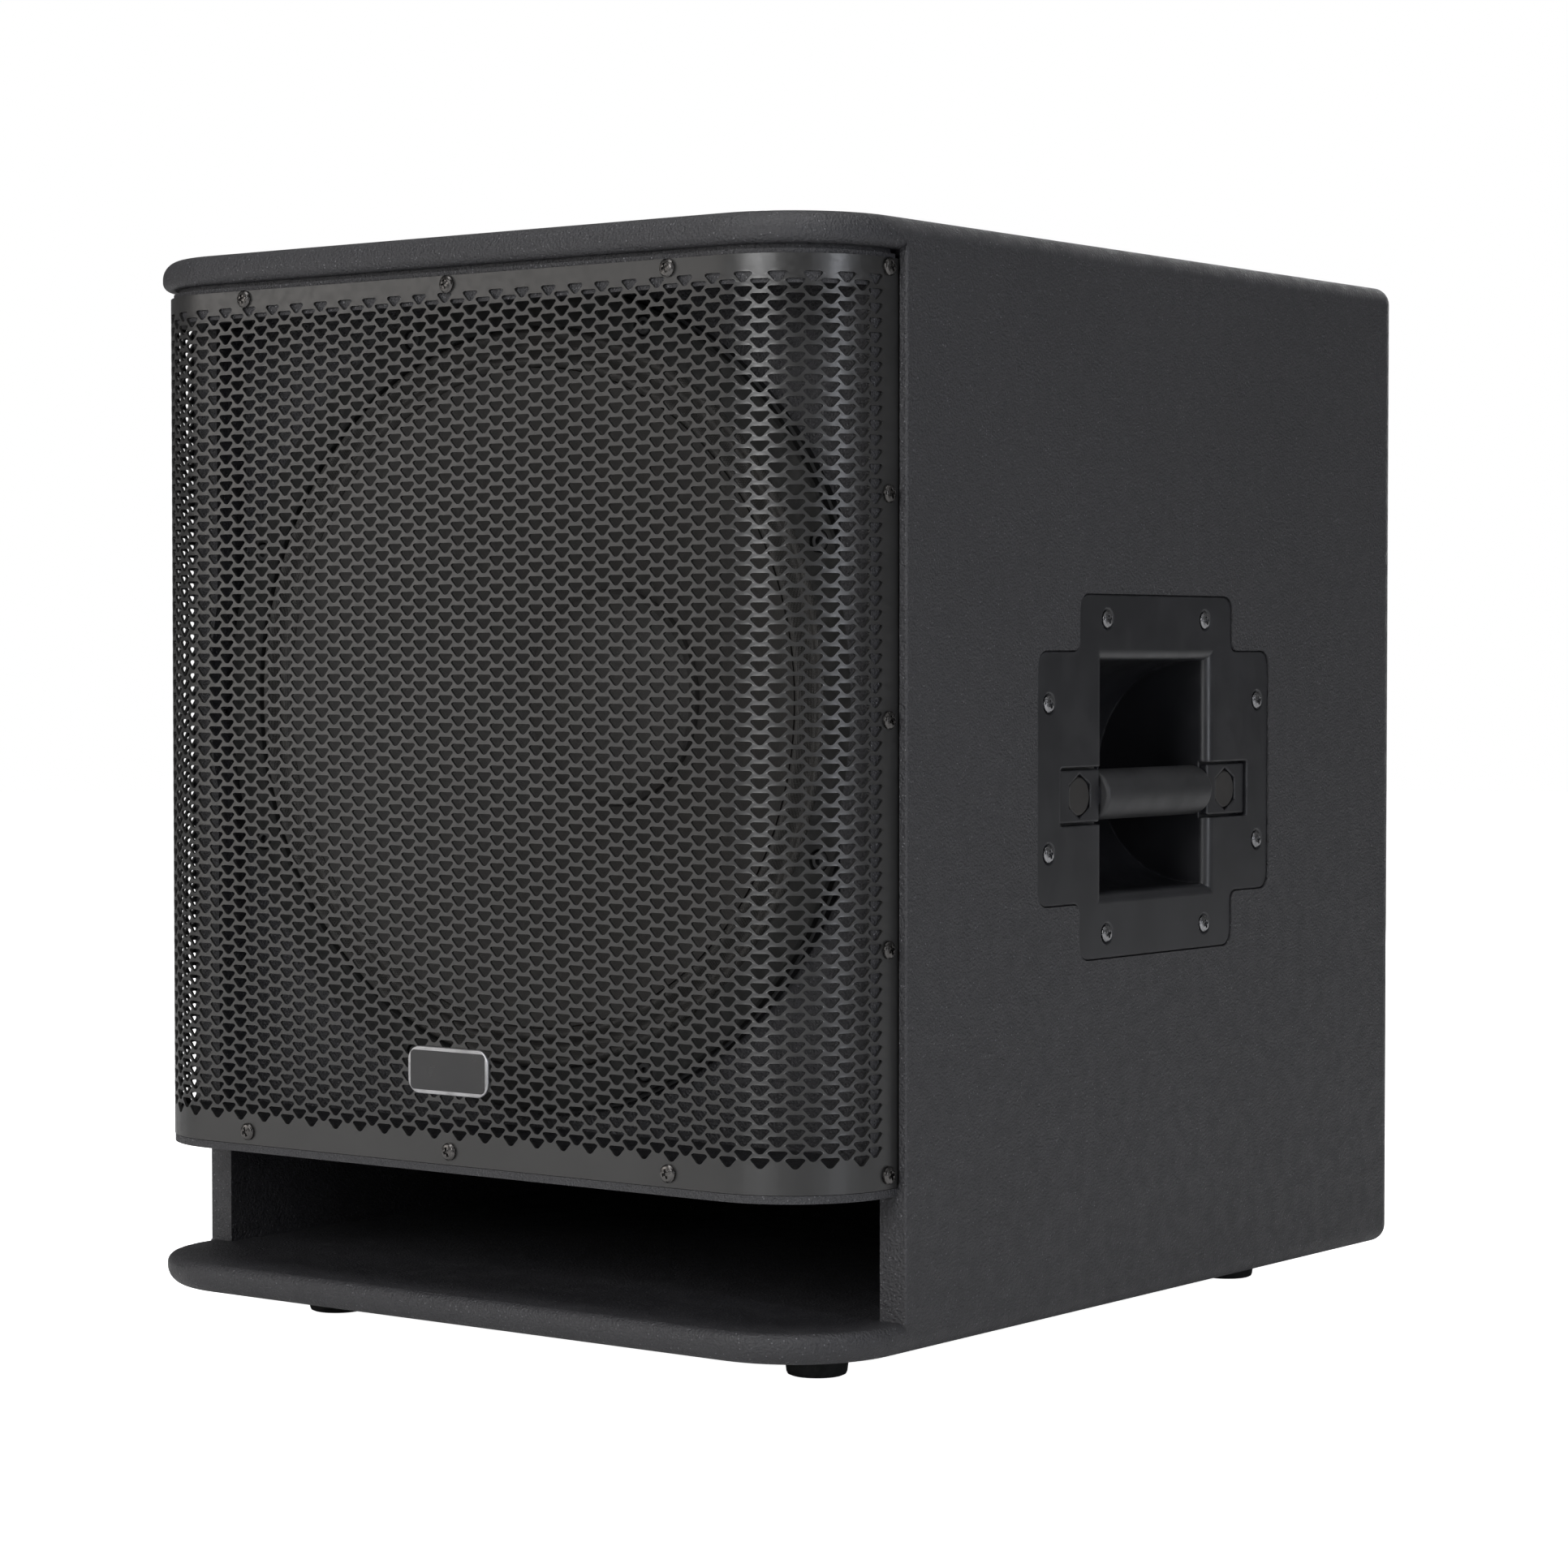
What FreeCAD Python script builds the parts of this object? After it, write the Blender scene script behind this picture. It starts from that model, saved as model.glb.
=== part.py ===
"""Powered subwoofer cabinet for live sound, 18 inch driver, front slot port, perforated steel grille.

Row frame, millimetres: +Z up, the grille faces -Y, +X is the cabinet's left-hand side seen from behind.
The origin is on the floor, under the middle of the cabinet. Every separate piece is one STEP file.
"""
import FreeCAD, Part
import math
import os

Vector = FreeCAD.Vector
os.makedirs("parts", exist_ok=True)

# ---------------------------------------------------------------- driving dimensions
CABINET_WIDTH = 508.0
CABINET_DEPTH = 600.0
CABINET_HEIGHT = 592.0        # wooden box alone, without the feet
FRONT_REACH = 75.0            # top and bottom boards reach this far in front of the side boards
BOARD = 17.0
FRONT_CORNER_RADIUS = 68.0    # plan corners of the top and bottom boards
REAR_CORNER_RADIUS = 13.0
EDGE_RADIUS = 10.5            # rounding of the outer edges
LIP_RADIUS = 5.0              # rounding of the reaching boards' inner edges

FOOT_HEIGHT = 21.0
FOOT_TOP_RADIUS = 19.0
FOOT_BOTTOM_RADIUS = 16.5
FOOT_X = 176.0
FOOT_FRONT_Y = -198.0
FOOT_REAR_Y = 229.0

PORT_HEIGHT = 66.5
SHELF_BOARD = 18.0
SHELF_REAR_Y = 155.0

GRILLE_SETBACK = 4.0          # grille face behind the front of the top board
GRILLE_SIDE_INSET = 6.0       # grille face inside the side board's outer face
GRILLE_RADIUS = 62.0
GRILLE_SHEET = 1.5
GRILLE_TOP_GAP = 5.0
GRILLE_BOTTOM_STRIP = 4.5     # shelf edge left showing under the grille
RAIL_DEPTH = 18.0
RAIL_HEIGHT = 20.0
RABBET_DEPTH = 5.0
RABBET_LIP = 4.8

DRIVER_HEIGHT = 341.0         # driver centre above the cabinet's underside
FRAME_RADIUS = 231.0          # 18 inch frame, 462 mm over the flange
BAFFLE_HOLE_RADIUS = 211.0
BOLT_CIRCLE_RADIUS = 219.0
CONE_RADIUS = 183.0
CAP_RADIUS = 62.0
POLE_RADIUS = 49.0
COIL_INNER_RADIUS = 50.0
COIL_OUTER_RADIUS = 52.0
GAP_OUTER_RADIUS = 53.2

HANDLE_Y = 21.5
HANDLE_HEIGHT = 297.5         # flange centre above the cabinet's underside
FLANGE_WIDTH = 246.0
FLANGE_TALL = 202.0
FLANGE_ARM_WIDTH = 162.0
FLANGE_ARM_TALL = 139.0
FLANGE_SHEET = 3.0
FLANGE_SUNK = 0.8
CUP_HALF_WIDTH = 56.0
CUP_RADIUS = 64.5
GRIP_DROP = 10.3              # grip axis below the flange centre
GRIP_RADIUS = 14.2
GRIP_AXIS_INSET = 11.5        # grip axis inside the side board's outer face
TROUGH_SINK = 8.0             # straight wall of the cup's mouth, behind the flange

POLE_BORE_RADIUS = 18.0
POLE_BORE_DEPTH = 90.0

AMP_WIDTH = 270.0
AMP_TALL = 340.0
AMP_HEIGHT = 305.0            # amplifier plate centre above the cabinet's underside
AMP_SHEET = 3.0
REAR_RECESS = 16.0            # rear board set in from the rear edges

# ---------------------------------------------------------------- derived places
HALF_WIDTH = CABINET_WIDTH / 2
FRONT_Y = -CABINET_DEPTH / 2
REAR_Y = CABINET_DEPTH / 2
SIDE_Y = FRONT_Y + FRONT_REACH
INNER_X = HALF_WIDTH - BOARD
BASE_Z = FOOT_HEIGHT
TOP_Z = BASE_Z + CABINET_HEIGHT
FLOOR_Z = BASE_Z + BOARD
ROOF_Z = TOP_Z - BOARD
SHELF_Z = FLOOR_Z + PORT_HEIGHT
SHELF_TOP_Z = SHELF_Z + SHELF_BOARD
GRILLE_X = HALF_WIDTH - GRILLE_SIDE_INSET
GRILLE_Y = FRONT_Y + GRILLE_SETBACK
GRILLE_BOTTOM_Z = SHELF_Z + GRILLE_BOTTOM_STRIP
GRILLE_TOP_Z = ROOF_Z - GRILLE_TOP_GAP
GRILLE_END_Y = SIDE_Y + 3.0
BACKING_X = GRILLE_X - GRILLE_SHEET - 0.2
BACKING_Y = GRILLE_Y + GRILLE_SHEET + 0.2
BACKING_RADIUS = GRILLE_RADIUS - GRILLE_SHEET - 0.2
BAFFLE_Y = SIDE_Y + 4.0
RAIL_Z = ROOF_Z - RAIL_HEIGHT
REAR_FACE_Y = REAR_Y - REAR_RECESS
DRIVER_Z = BASE_Z + DRIVER_HEIGHT
HANDLE_Z = BASE_Z + HANDLE_HEIGHT
GRIP_Z = HANDLE_Z - GRIP_DROP
AMP_Z = BASE_Z + AMP_HEIGHT
AMP_FACE_Y = REAR_FACE_Y + AMP_SHEET

X_AXIS = Vector(1, 0, 0)
Y_AXIS = Vector(0, 1, 0)
Z_AXIS = Vector(0, 0, 1)


# ---------------------------------------------------------------- helpers
def box(low_x, high_x, low_y, high_y, low_z, high_z):
    size = (high_x - low_x, high_y - low_y, high_z - low_z)
    return Part.makeBox(size[0], size[1], size[2], Vector(low_x, low_y, low_z))


def cylinder(radius, start, direction, length):
    return Part.makeCylinder(radius, length, Vector(*start), direction)


def tube(outer, inner, start, direction, length):
    return cylinder(outer, start, direction, length).cut(cylinder(inner, start, direction, length))


def rounded_loop(corners, radii, place):
    """Closed wire through flat corners, each rounded by its radius and mapped to space by place()."""
    turns = []
    for index, corner in enumerate(corners):
        here = Vector(corner[0], corner[1], 0)
        before = Vector(*corners[index - 1], 0)
        after = Vector(*corners[(index + 1) % len(corners)], 0)
        back = (before - here).normalize()
        ahead = (after - here).normalize()
        radius = radii[index]
        half_angle = back.getAngle(ahead) / 2
        reach = radius / math.tan(half_angle)
        bisector = (back + ahead).normalize()
        crown = bisector * (radius / math.sin(half_angle) - radius)
        turns.append((here + back * reach, here + crown, here + ahead * reach))
    edges = []
    for index, turn in enumerate(turns):
        start, middle, end = turn
        if radii[index] > 0:
            edges.append(Part.Arc(place(start), place(middle), place(end)).toShape())
        following = turns[(index + 1) % len(turns)][0]
        if (following - end).Length > 1e-6:
            edges.append(Part.LineSegment(place(end), place(following)).toShape())
    return Part.Wire(edges)


def prism(corners, radii, place, direction):
    if not isinstance(radii, (list, tuple)):
        radii = [radii] * len(corners)
    return Part.Face(rounded_loop(corners, radii, place)).extrude(direction)


def flat(height):
    """Maps drawing points to a level plane."""
    return lambda point: Vector(point.x, point.y, height)


def upright(depth):
    """Maps drawing points to a plane that faces the front, drawing x to X and drawing y to Z."""
    return lambda point: Vector(point.x, depth, point.y)


def sideways(offset):
    """Maps drawing points to a plane that faces the side, drawing x to Y and drawing y to Z."""
    return lambda point: Vector(offset, point.x, point.y)


def rectangle(centre_u, centre_v, width, height):
    half_w = width / 2
    half_h = height / 2
    return [
        (centre_u - half_w, centre_v - half_h),
        (centre_u + half_w, centre_v - half_h),
        (centre_u + half_w, centre_v + half_h),
        (centre_u - half_w, centre_v + half_h),
    ]


def turned(profile, centre, direction):
    """Solid turned about an axis through centre. Profile points are (radius, distance along the axis)."""
    side = X_AXIS if abs(direction.x) < 0.5 else Y_AXIS
    points = [centre + side * radius + direction * along for radius, along in profile]
    face = Part.Face(Part.makePolygon(points + [points[0]]))
    return face.revolve(centre, direction, 360)


def mirrored(shape):
    return shape.mirror(Vector(0, 0, 0), X_AXIS)


def edges_at(shape, test):
    return [edge for edge in shape.Edges if all(test(vertex.Point) for vertex in edge.Vertexes)]


def group(solids):
    return Part.makeCompound([solid for shape in solids for solid in shape.Solids])


def write(name, shape):
    if not shape.isValid():
        raise ValueError(name + " is not a valid shape")
    shape.exportStep(os.path.join("parts", name + ".step"))


def cross_head_screw(seat, outward, head_radius, head_height, shank_radius, shank_length):
    """Pan head screw with a cross recess; its head sits on seat and its shank points the other way."""
    profile = [
        (0.0, -shank_length),
        (shank_radius, -shank_length),
        (shank_radius, 0.0),
        (head_radius, 0.0),
        (head_radius, head_height * 0.45),
        (head_radius * 0.82, head_height * 0.82),
        (head_radius * 0.45, head_height),
        (0.0, head_height),
    ]
    screw = turned(profile, seat, outward)
    arm = head_radius * 0.55
    slot = head_radius * 0.17
    depth = head_height * 0.6
    for turn in (0, 90):
        cutter = Part.makeBox(2 * arm, 2 * slot, depth + 1, Vector(-arm, -slot, head_height - depth))
        cutter.rotate(Vector(0, 0, 0), Z_AXIS, turn + 20)
        cutter.Placement = FreeCAD.Placement(seat, FreeCAD.Rotation(Z_AXIS, outward)) * cutter.Placement
        screw = screw.cut(cutter)
    return screw


# ---------------------------------------------------------------- cabinet boards
def front_outline(half_width, front_y, radius, rear_y):
    corners = [(-half_width, rear_y), (-half_width, front_y), (half_width, front_y), (half_width, rear_y)]
    return corners, [0.0, radius, radius, 0.0]


def envelope():
    """Whole outer form of the wooden box, with every outer edge rounded."""
    corners = [(-HALF_WIDTH, FRONT_Y), (HALF_WIDTH, FRONT_Y), (HALF_WIDTH, REAR_Y), (-HALF_WIDTH, REAR_Y)]
    radii = [FRONT_CORNER_RADIUS, FRONT_CORNER_RADIUS, REAR_CORNER_RADIUS, REAR_CORNER_RADIUS]
    body = prism(corners, radii, flat(BASE_Z), Z_AXIS * CABINET_HEIGHT)
    rims = edges_at(body, lambda p: abs(p.z - BASE_Z) < 1e-6 or abs(p.z - TOP_Z) < 1e-6)
    return body.makeFillet(EDGE_RADIUS, rims)


def reaching_board(body, low_z, high_z, lip_z):
    """Top or bottom board: its front reaches past the side boards and is rounded on its inner edge too."""
    board = body.common(box(-300, 300, -400, 400, low_z, high_z))
    lipped = board.makeFillet(LIP_RADIUS, edges_at(board, lambda p: abs(p.z - lip_z) < 1e-6))
    front = lipped.common(box(-300, 300, -400, SIDE_Y, 0, 700))
    rear = board.common(box(-300, 300, SIDE_Y, 400, 0, 700))
    return front.fuse(rear).removeSplitter()


def make_top_board(body):
    board = reaching_board(body, ROOF_Z, TOP_Z, ROOF_Z)
    recess = cylinder(57.0, (0, 0, TOP_Z - 4.0), Z_AXIS, 10)
    bore = cylinder(23.5, (0, 0, ROOF_Z - 1), Z_AXIS, 40)
    board = board.cut(recess).cut(bore)
    for x, y in pole_screw_places():
        board = board.cut(cylinder(2.1, (x, y, TOP_Z - 16.6), Z_AXIS, 20))
    return board


def make_bottom_board(body):
    board = reaching_board(body, BASE_Z, FLOOR_Z, FLOOR_Z)
    for x in (-FOOT_X, FOOT_X):
        for y in (FOOT_FRONT_Y, FOOT_REAR_Y):
            board = board.cut(cylinder(2.5, (x, y, BASE_Z - 1), Z_AXIS, 16))
    return board


def cup_opening_corners(margin):
    return rectangle(HANDLE_Y, HANDLE_Z, 2 * (CUP_HALF_WIDTH + margin), 2 * (CUP_RADIUS + margin))


def plus_outline(margin):
    """Corners of the handle flange, a plus with two short and two long arms."""
    wide = FLANGE_WIDTH / 2 + margin
    tall = FLANGE_TALL / 2 + margin
    arm_w = FLANGE_ARM_WIDTH / 2 + margin
    arm_t = FLANGE_ARM_TALL / 2 + margin
    quarter = [(wide, -arm_t), (wide, arm_t), (arm_w, arm_t), (arm_w, tall)]
    half = quarter + [(-u, v) for u, v in reversed(quarter[2:])] + [(-wide, arm_t), (-wide, -arm_t)]
    full = half + [(-arm_w, -arm_t), (-arm_w, -tall), (arm_w, -tall), (arm_w, -arm_t)]
    corners = [(HANDLE_Y + u, HANDLE_Z + v) for u, v in full]
    outer = 9.0
    inner = 5.0
    radii = [outer, outer, inner, outer, outer, inner, outer, outer, inner, outer, outer, inner]
    return corners, radii


def make_side_board(body):
    """Side board at +X, with the grille rabbet, the handle recess and the handle cut-out."""
    board = body.common(box(INNER_X, 300, SIDE_Y, 400, FLOOR_Z, ROOF_Z))
    edge = edges_at(board, lambda p: abs(p.x - HALF_WIDTH) < 1e-6 and abs(p.y - SIDE_Y) < 1e-6)
    board = board.makeFillet(1.5, edge)
    rabbet_corners = [(INNER_X - 1, SHELF_Z), (HALF_WIDTH - RABBET_LIP, SHELF_Z)]
    rabbet_corners += [(HALF_WIDTH - RABBET_LIP, ROOF_Z + 1), (INNER_X - 1, ROOF_Z + 1)]
    rabbet = prism(rabbet_corners, [0, 8.0, 0, 0], upright(SIDE_Y - 1), Y_AXIS * (RABBET_DEPTH + 1))
    board = board.cut(rabbet)
    corners, radii = plus_outline(0.7)
    recess_floor = HALF_WIDTH - FLANGE_SUNK - FLANGE_SHEET
    board = board.cut(prism(corners, radii, sideways(recess_floor), X_AXIS * 20))
    board = board.cut(prism(cup_opening_corners(8.5), 9.0, sideways(INNER_X - 1), X_AXIS * 40))
    pad = rectangle(HANDLE_Y, GRIP_Z, 2 * 104.0, 38.0)
    board = board.cut(prism(pad, 3.0, sideways(recess_floor - 6.0), X_AXIS * 20))
    for y in handle_bolt_ys():
        board = board.cut(cylinder(3.1, (INNER_X - 1, y, GRIP_Z), X_AXIS, 20))
    return board


def make_rear_board():
    board = box(-INNER_X, INNER_X, REAR_FACE_Y - BOARD, REAR_FACE_Y, FLOOR_Z, ROOF_Z)
    window = rectangle(0, AMP_Z, AMP_WIDTH - 30, AMP_TALL - 30)
    return board.cut(prism(window, 10.0, upright(REAR_FACE_Y - BOARD - 1), Y_AXIS * 30))


def make_baffle():
    board = box(-INNER_X, INNER_X, BAFFLE_Y, BAFFLE_Y + BOARD, SHELF_TOP_Z, ROOF_Z)
    board = board.cut(cylinder(BAFFLE_HOLE_RADIUS, (0, BAFFLE_Y - 1, DRIVER_Z), Y_AXIS, 40))
    for angle in bolt_angles():
        start = driver_centre(-1) + radial(angle) * BOLT_CIRCLE_RADIUS
        board = board.cut(Part.makeCylinder(3.1, 40, start, Y_AXIS))
    return board


def backing_form(low_z, high_z):
    """Space just behind the grille sheet, between two heights."""
    corners, radii = front_outline(BACKING_X, BACKING_Y, BACKING_RADIUS, BAFFLE_Y)
    return prism(corners, radii, flat(low_z), Z_AXIS * (high_z - low_z))


def clear_of_side_boards(shape):
    for side in (-1, 1):
        low = min(side * INNER_X, side * 300)
        shape = shape.cut(box(low, low + 300 - INNER_X, SIDE_Y, 400, 0, 700))
    return shape


def make_shelf():
    """Port shelf: closes the slot port from above and carries the grille's bottom edge."""
    corners, radii = front_outline(GRILLE_X - 0.3, GRILLE_Y + 0.3, GRILLE_RADIUS - 0.3, BAFFLE_Y)
    strip = prism(corners, radii, flat(SHELF_Z), Z_AXIS * (GRILLE_BOTTOM_STRIP - 0.3))
    nose = clear_of_side_boards(strip.fuse(backing_form(SHELF_Z, SHELF_TOP_Z)))
    rear = box(-INNER_X, INNER_X, SIDE_Y, SHELF_REAR_Y, SHELF_Z, SHELF_TOP_Z)
    return nose.fuse(rear).removeSplitter()


def make_top_rail():
    outer = backing_form(RAIL_Z, ROOF_Z)
    corners, radii = front_outline(BACKING_X - RAIL_DEPTH, BACKING_Y + RAIL_DEPTH, BACKING_RADIUS - RAIL_DEPTH, 0)
    rail = outer.cut(prism(corners, radii, flat(RAIL_Z - 1), Z_AXIS * 60))
    groove = 2.5
    inset = front_outline(BACKING_X - 3.0, BACKING_Y + 3.0, BACKING_RADIUS - 3.0, BAFFLE_Y)
    core = prism(inset[0], inset[1], flat(ROOF_Z - groove), Z_AXIS * (groove + 1))
    band = box(-300, 300, -400, 0, ROOF_Z - groove, ROOF_Z + 1).cut(core)
    return clear_of_side_boards(rail.cut(band))


def make_side_battens():
    form = backing_form(SHELF_TOP_Z, RAIL_Z)
    right = form.common(box(226.0, 300, SIDE_Y - 20.0, BAFFLE_Y, 0, 700))
    left = form.common(box(-300, -226.0, SIDE_Y - 20.0, BAFFLE_Y, 0, 700))
    clearance = cylinder(FRAME_RADIUS + 1.5, (0, SIDE_Y - 30, DRIVER_Z), Y_AXIS, 60)
    return clear_of_side_boards(group([left, right])).cut(clearance)


def make_brace():
    """Window brace between the side boards: two rails and three uprights, standing on the port shelf."""
    low_y = 92.0
    high_y = low_y + BOARD
    sill_z = 174.0
    head_z = 544.0
    sill = box(-INNER_X, INNER_X, low_y, high_y, SHELF_TOP_Z, sill_z)
    head = box(-INNER_X, INNER_X, low_y, high_y, head_z, ROOF_Z)
    left = box(-INNER_X, -197.0, low_y, high_y, sill_z, head_z)
    middle = box(-17.0, 17.0, low_y, high_y, sill_z, head_z)
    right = box(197.0, INNER_X, low_y, high_y, sill_z, head_z)
    return group([sill, head, left, middle, right])


# ---------------------------------------------------------------- grille, badge and screws
def make_grille():
    """Wrap-round steel sheet; the perforation is finer than this model resolves and is left solid."""
    height = Z_AXIS * (GRILLE_TOP_Z - GRILLE_BOTTOM_Z)
    outer = front_outline(GRILLE_X, GRILLE_Y, GRILLE_RADIUS, GRILLE_END_Y)
    inner_radius = GRILLE_RADIUS - GRILLE_SHEET
    inner = front_outline(GRILLE_X - GRILLE_SHEET, GRILLE_Y + GRILLE_SHEET, inner_radius, GRILLE_END_Y)
    shell = prism(outer[0], outer[1], flat(GRILLE_BOTTOM_Z), height)
    core = prism(inner[0], inner[1], flat(GRILLE_BOTTOM_Z - 1), height + Z_AXIS * 2)
    slab = box(-300, 300, GRILLE_END_Y - 1, GRILLE_END_Y + 5, 0, 700)
    return shell.cut(core).cut(slab)


GRILLE_SCREW_X = 152.5
GRILLE_SCREW_TOP_Z = GRILLE_TOP_Z - 4.7
GRILLE_SCREW_BOTTOM_Z = GRILLE_BOTTOM_Z + 7.3


def grille_screw_places():
    """Each screw's seat on the grille face and the direction that its head points."""
    places = []
    for z in (GRILLE_SCREW_BOTTOM_Z, GRILLE_SCREW_TOP_Z):
        for x in (-GRILLE_SCREW_X, 0.0, GRILLE_SCREW_X):
            places.append((Vector(x, GRILLE_Y, z), Y_AXIS * -1))
    side_heights = [GRILLE_SCREW_BOTTOM_Z, GRILLE_SCREW_TOP_Z]
    side_heights += [BASE_Z + 212.5, BASE_Z + 331.5, BASE_Z + 448.5]
    for z in side_heights:
        for side in (-1, 1):
            places.append((Vector(side * GRILLE_X, SIDE_Y - 8.0, z), X_AXIS * side))
    return places


def make_grille_screws():
    screws = [cross_head_screw(seat, out, 4.8, 2.6, 1.6, 16.0) for seat, out in grille_screw_places()]
    return group(screws)


def make_screw_holes(shape, places, radius, depth):
    for seat, out in places:
        start = seat + out * 2
        shape = shape.cut(Part.makeCylinder(radius, depth + 2, start, out * -1))
    return shape


def make_badge():
    plate = rectangle(0.0, BASE_Z + 139.0, 58.0, 26.0)
    badge = prism(plate, 8.0, upright(GRILLE_Y - 1.6), Y_AXIS * 1.6)
    rim = edges_at(badge, lambda p: abs(p.y - (GRILLE_Y - 1.6)) < 1e-6)
    return badge.makeFillet(0.7, rim)


# ---------------------------------------------------------------- handles
def make_handle_cup():
    """Handle cup at +X: plus-shaped flange, half-round trough and a slot for the grip's end plates."""
    face_x = HALF_WIDTH - FLANGE_SUNK
    back_x = face_x - FLANGE_SHEET
    corners, radii = plus_outline(0.0)
    flange = prism(corners, radii, sideways(back_x), X_AXIS * FLANGE_SHEET)
    wall = 3.0
    low_y = HANDLE_Y - CUP_HALF_WIDTH
    length = 2 * CUP_HALF_WIDTH
    sunk_x = back_x - TROUGH_SINK
    shell = cylinder(CUP_RADIUS + wall, (sunk_x, low_y - wall, HANDLE_Z), Y_AXIS, length + 2 * wall)
    shell = shell.common(box(0, sunk_x + 0.5, -400, 400, 0, 700))
    collar = prism(cup_opening_corners(7.5), 8.0, sideways(sunk_x), X_AXIS * (TROUGH_SINK + 0.5))
    pad = prism(rectangle(HANDLE_Y, GRIP_Z, 2 * 103.0, 36.0), 3.0, sideways(back_x - 5.5), X_AXIS * 6.0)
    cup = flange.fuse(shell).fuse(collar).fuse(pad)
    trough = cylinder(CUP_RADIUS, (sunk_x, low_y, HANDLE_Z), Y_AXIS, length)
    mouth = box(sunk_x, face_x + 1, low_y, low_y + length, HANDLE_Z - CUP_RADIUS, HANDLE_Z + CUP_RADIUS)
    cup = cup.cut(trough.fuse(mouth)).removeSplitter()
    rim = edges_at(
        cup,
        lambda p: abs(p.x - face_x) < 1e-6
        and abs(p.y - HANDLE_Y) < CUP_HALF_WIDTH + 0.1
        and abs(p.z - HANDLE_Z) < CUP_RADIUS + 0.1,
    )
    cup = cup.makeFillet(6.0, rim)
    slot = prism(rectangle(HANDLE_Y, GRIP_Z, 2 * 100.0, 32.4), 2.0, sideways(face_x - 6.5), X_AXIS * 20)
    cup = cup.cut(slot)
    for seat, out in handle_screw_places():
        cup = cup.cut(Part.makeCone(5.0, 6.4, 1.6, seat - out * 0.2, out))
        cup = cup.cut(Part.makeCylinder(2.3, 20, seat - out * 10, out))
    for y in handle_bolt_ys():
        cup = cup.cut(cylinder(3.1, (face_x - 30, y, GRIP_Z), X_AXIS, 40))
    return cup


def handle_screw_places():
    seat_x = HALF_WIDTH - FLANGE_SUNK - 1.2
    places = []
    for along, up in ((52.2, 87.5), (111.3, 41.0)):
        for side_y in (-1, 1):
            for side_z in (-1, 1):
                seat = Vector(seat_x, HANDLE_Y + side_y * along, HANDLE_Z + side_z * up)
                places.append((seat, X_AXIS))
    return places


def handle_bolt_ys():
    return (HANDLE_Y - 77.8, HANDLE_Y + 77.8)


def grip_plate_face():
    return HALF_WIDTH - FLANGE_SUNK - 1.7


def make_handle_bar():
    """Grip core with an end plate at each end, bolted down in the cup's slot."""
    axis_x = HALF_WIDTH - GRIP_AXIS_INSET
    core = cylinder(9.0, (axis_x, HANDLE_Y - 62.0, GRIP_Z), Y_AXIS, 124.0)
    face_x = grip_plate_face()
    thick = 4.6
    bar = core
    for side in (-1, 1):
        middle = HANDLE_Y + side * 78.5
        plate = prism(rectangle(middle, GRIP_Z, 41.0, 29.4), 1.5, sideways(face_x - thick), X_AXIS * thick)
        rim = edges_at(plate, lambda p: abs(p.x - face_x) < 1e-6)
        plate = plate.makeFillet(0.8, rim)
        neck = box(axis_x - 6.0, face_x - 0.8, HANDLE_Y - 62, HANDLE_Y - 57.2, GRIP_Z - 8, GRIP_Z + 8)
        if side > 0:
            neck = box(axis_x - 6.0, face_x - 0.8, HANDLE_Y + 57.2, HANDLE_Y + 62, GRIP_Z - 8, GRIP_Z + 8)
        bar = bar.fuse(plate).fuse(neck)
    slot_floor = HALF_WIDTH - FLANGE_SUNK - 6.5
    wall = CUP_HALF_WIDTH
    for side in (-1, 1):
        low = min(side * wall, side * 100) + HANDLE_Y
        bar = bar.cut(box(0, slot_floor + 0.1, low, low + 100 - wall, 0, 700))
    for y in handle_bolt_ys():
        hexagon = [
            (y + 12.6 * math.sin(math.radians(60 * k)), GRIP_Z + 12.6 * math.cos(math.radians(60 * k)))
            for k in range(6)
        ]
        bar = bar.cut(prism(hexagon, 0.0, sideways(face_x - 2.6), X_AXIS * 10))
        bar = bar.cut(cylinder(3.1, (face_x - 20, y, GRIP_Z), X_AXIS, 40))
    return bar


def make_grip_sleeve():
    axis_x = HALF_WIDTH - GRIP_AXIS_INSET
    low_y = HANDLE_Y - 55.6
    length = 111.2
    sleeve = cylinder(GRIP_RADIUS, (axis_x, low_y, GRIP_Z), Y_AXIS, length)
    ends = [edge for edge in sleeve.Edges if isinstance(edge.Curve, Part.Circle)]
    sleeve = sleeve.makeFillet(2.2, ends)
    return sleeve.cut(cylinder(9.0, (axis_x, low_y - 1, GRIP_Z), Y_AXIS, length + 2))


def make_handle_bolts():
    face_x = grip_plate_face()
    bolts = []
    for y in handle_bolt_ys():
        profile = [(0, -11.4), (3.0, -11.4), (3.0, 0), (10.7, 0), (10.7, 1.6), (9.9, 2.2), (0, 2.2)]
        bolt = turned(profile, Vector(face_x - 2.6, y, GRIP_Z), X_AXIS)
        bolts.append(bolt)
    return group(bolts)


def make_handle_screws():
    screws = [cross_head_screw(seat, out, 4.7, 2.6, 2.2, 14.0) for seat, out in handle_screw_places()]
    return group(screws)


# ---------------------------------------------------------------- feet and pole socket
def foot_places():
    return [(x, y) for x in (-FOOT_X, FOOT_X) for y in (FOOT_FRONT_Y, FOOT_REAR_Y)]


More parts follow.
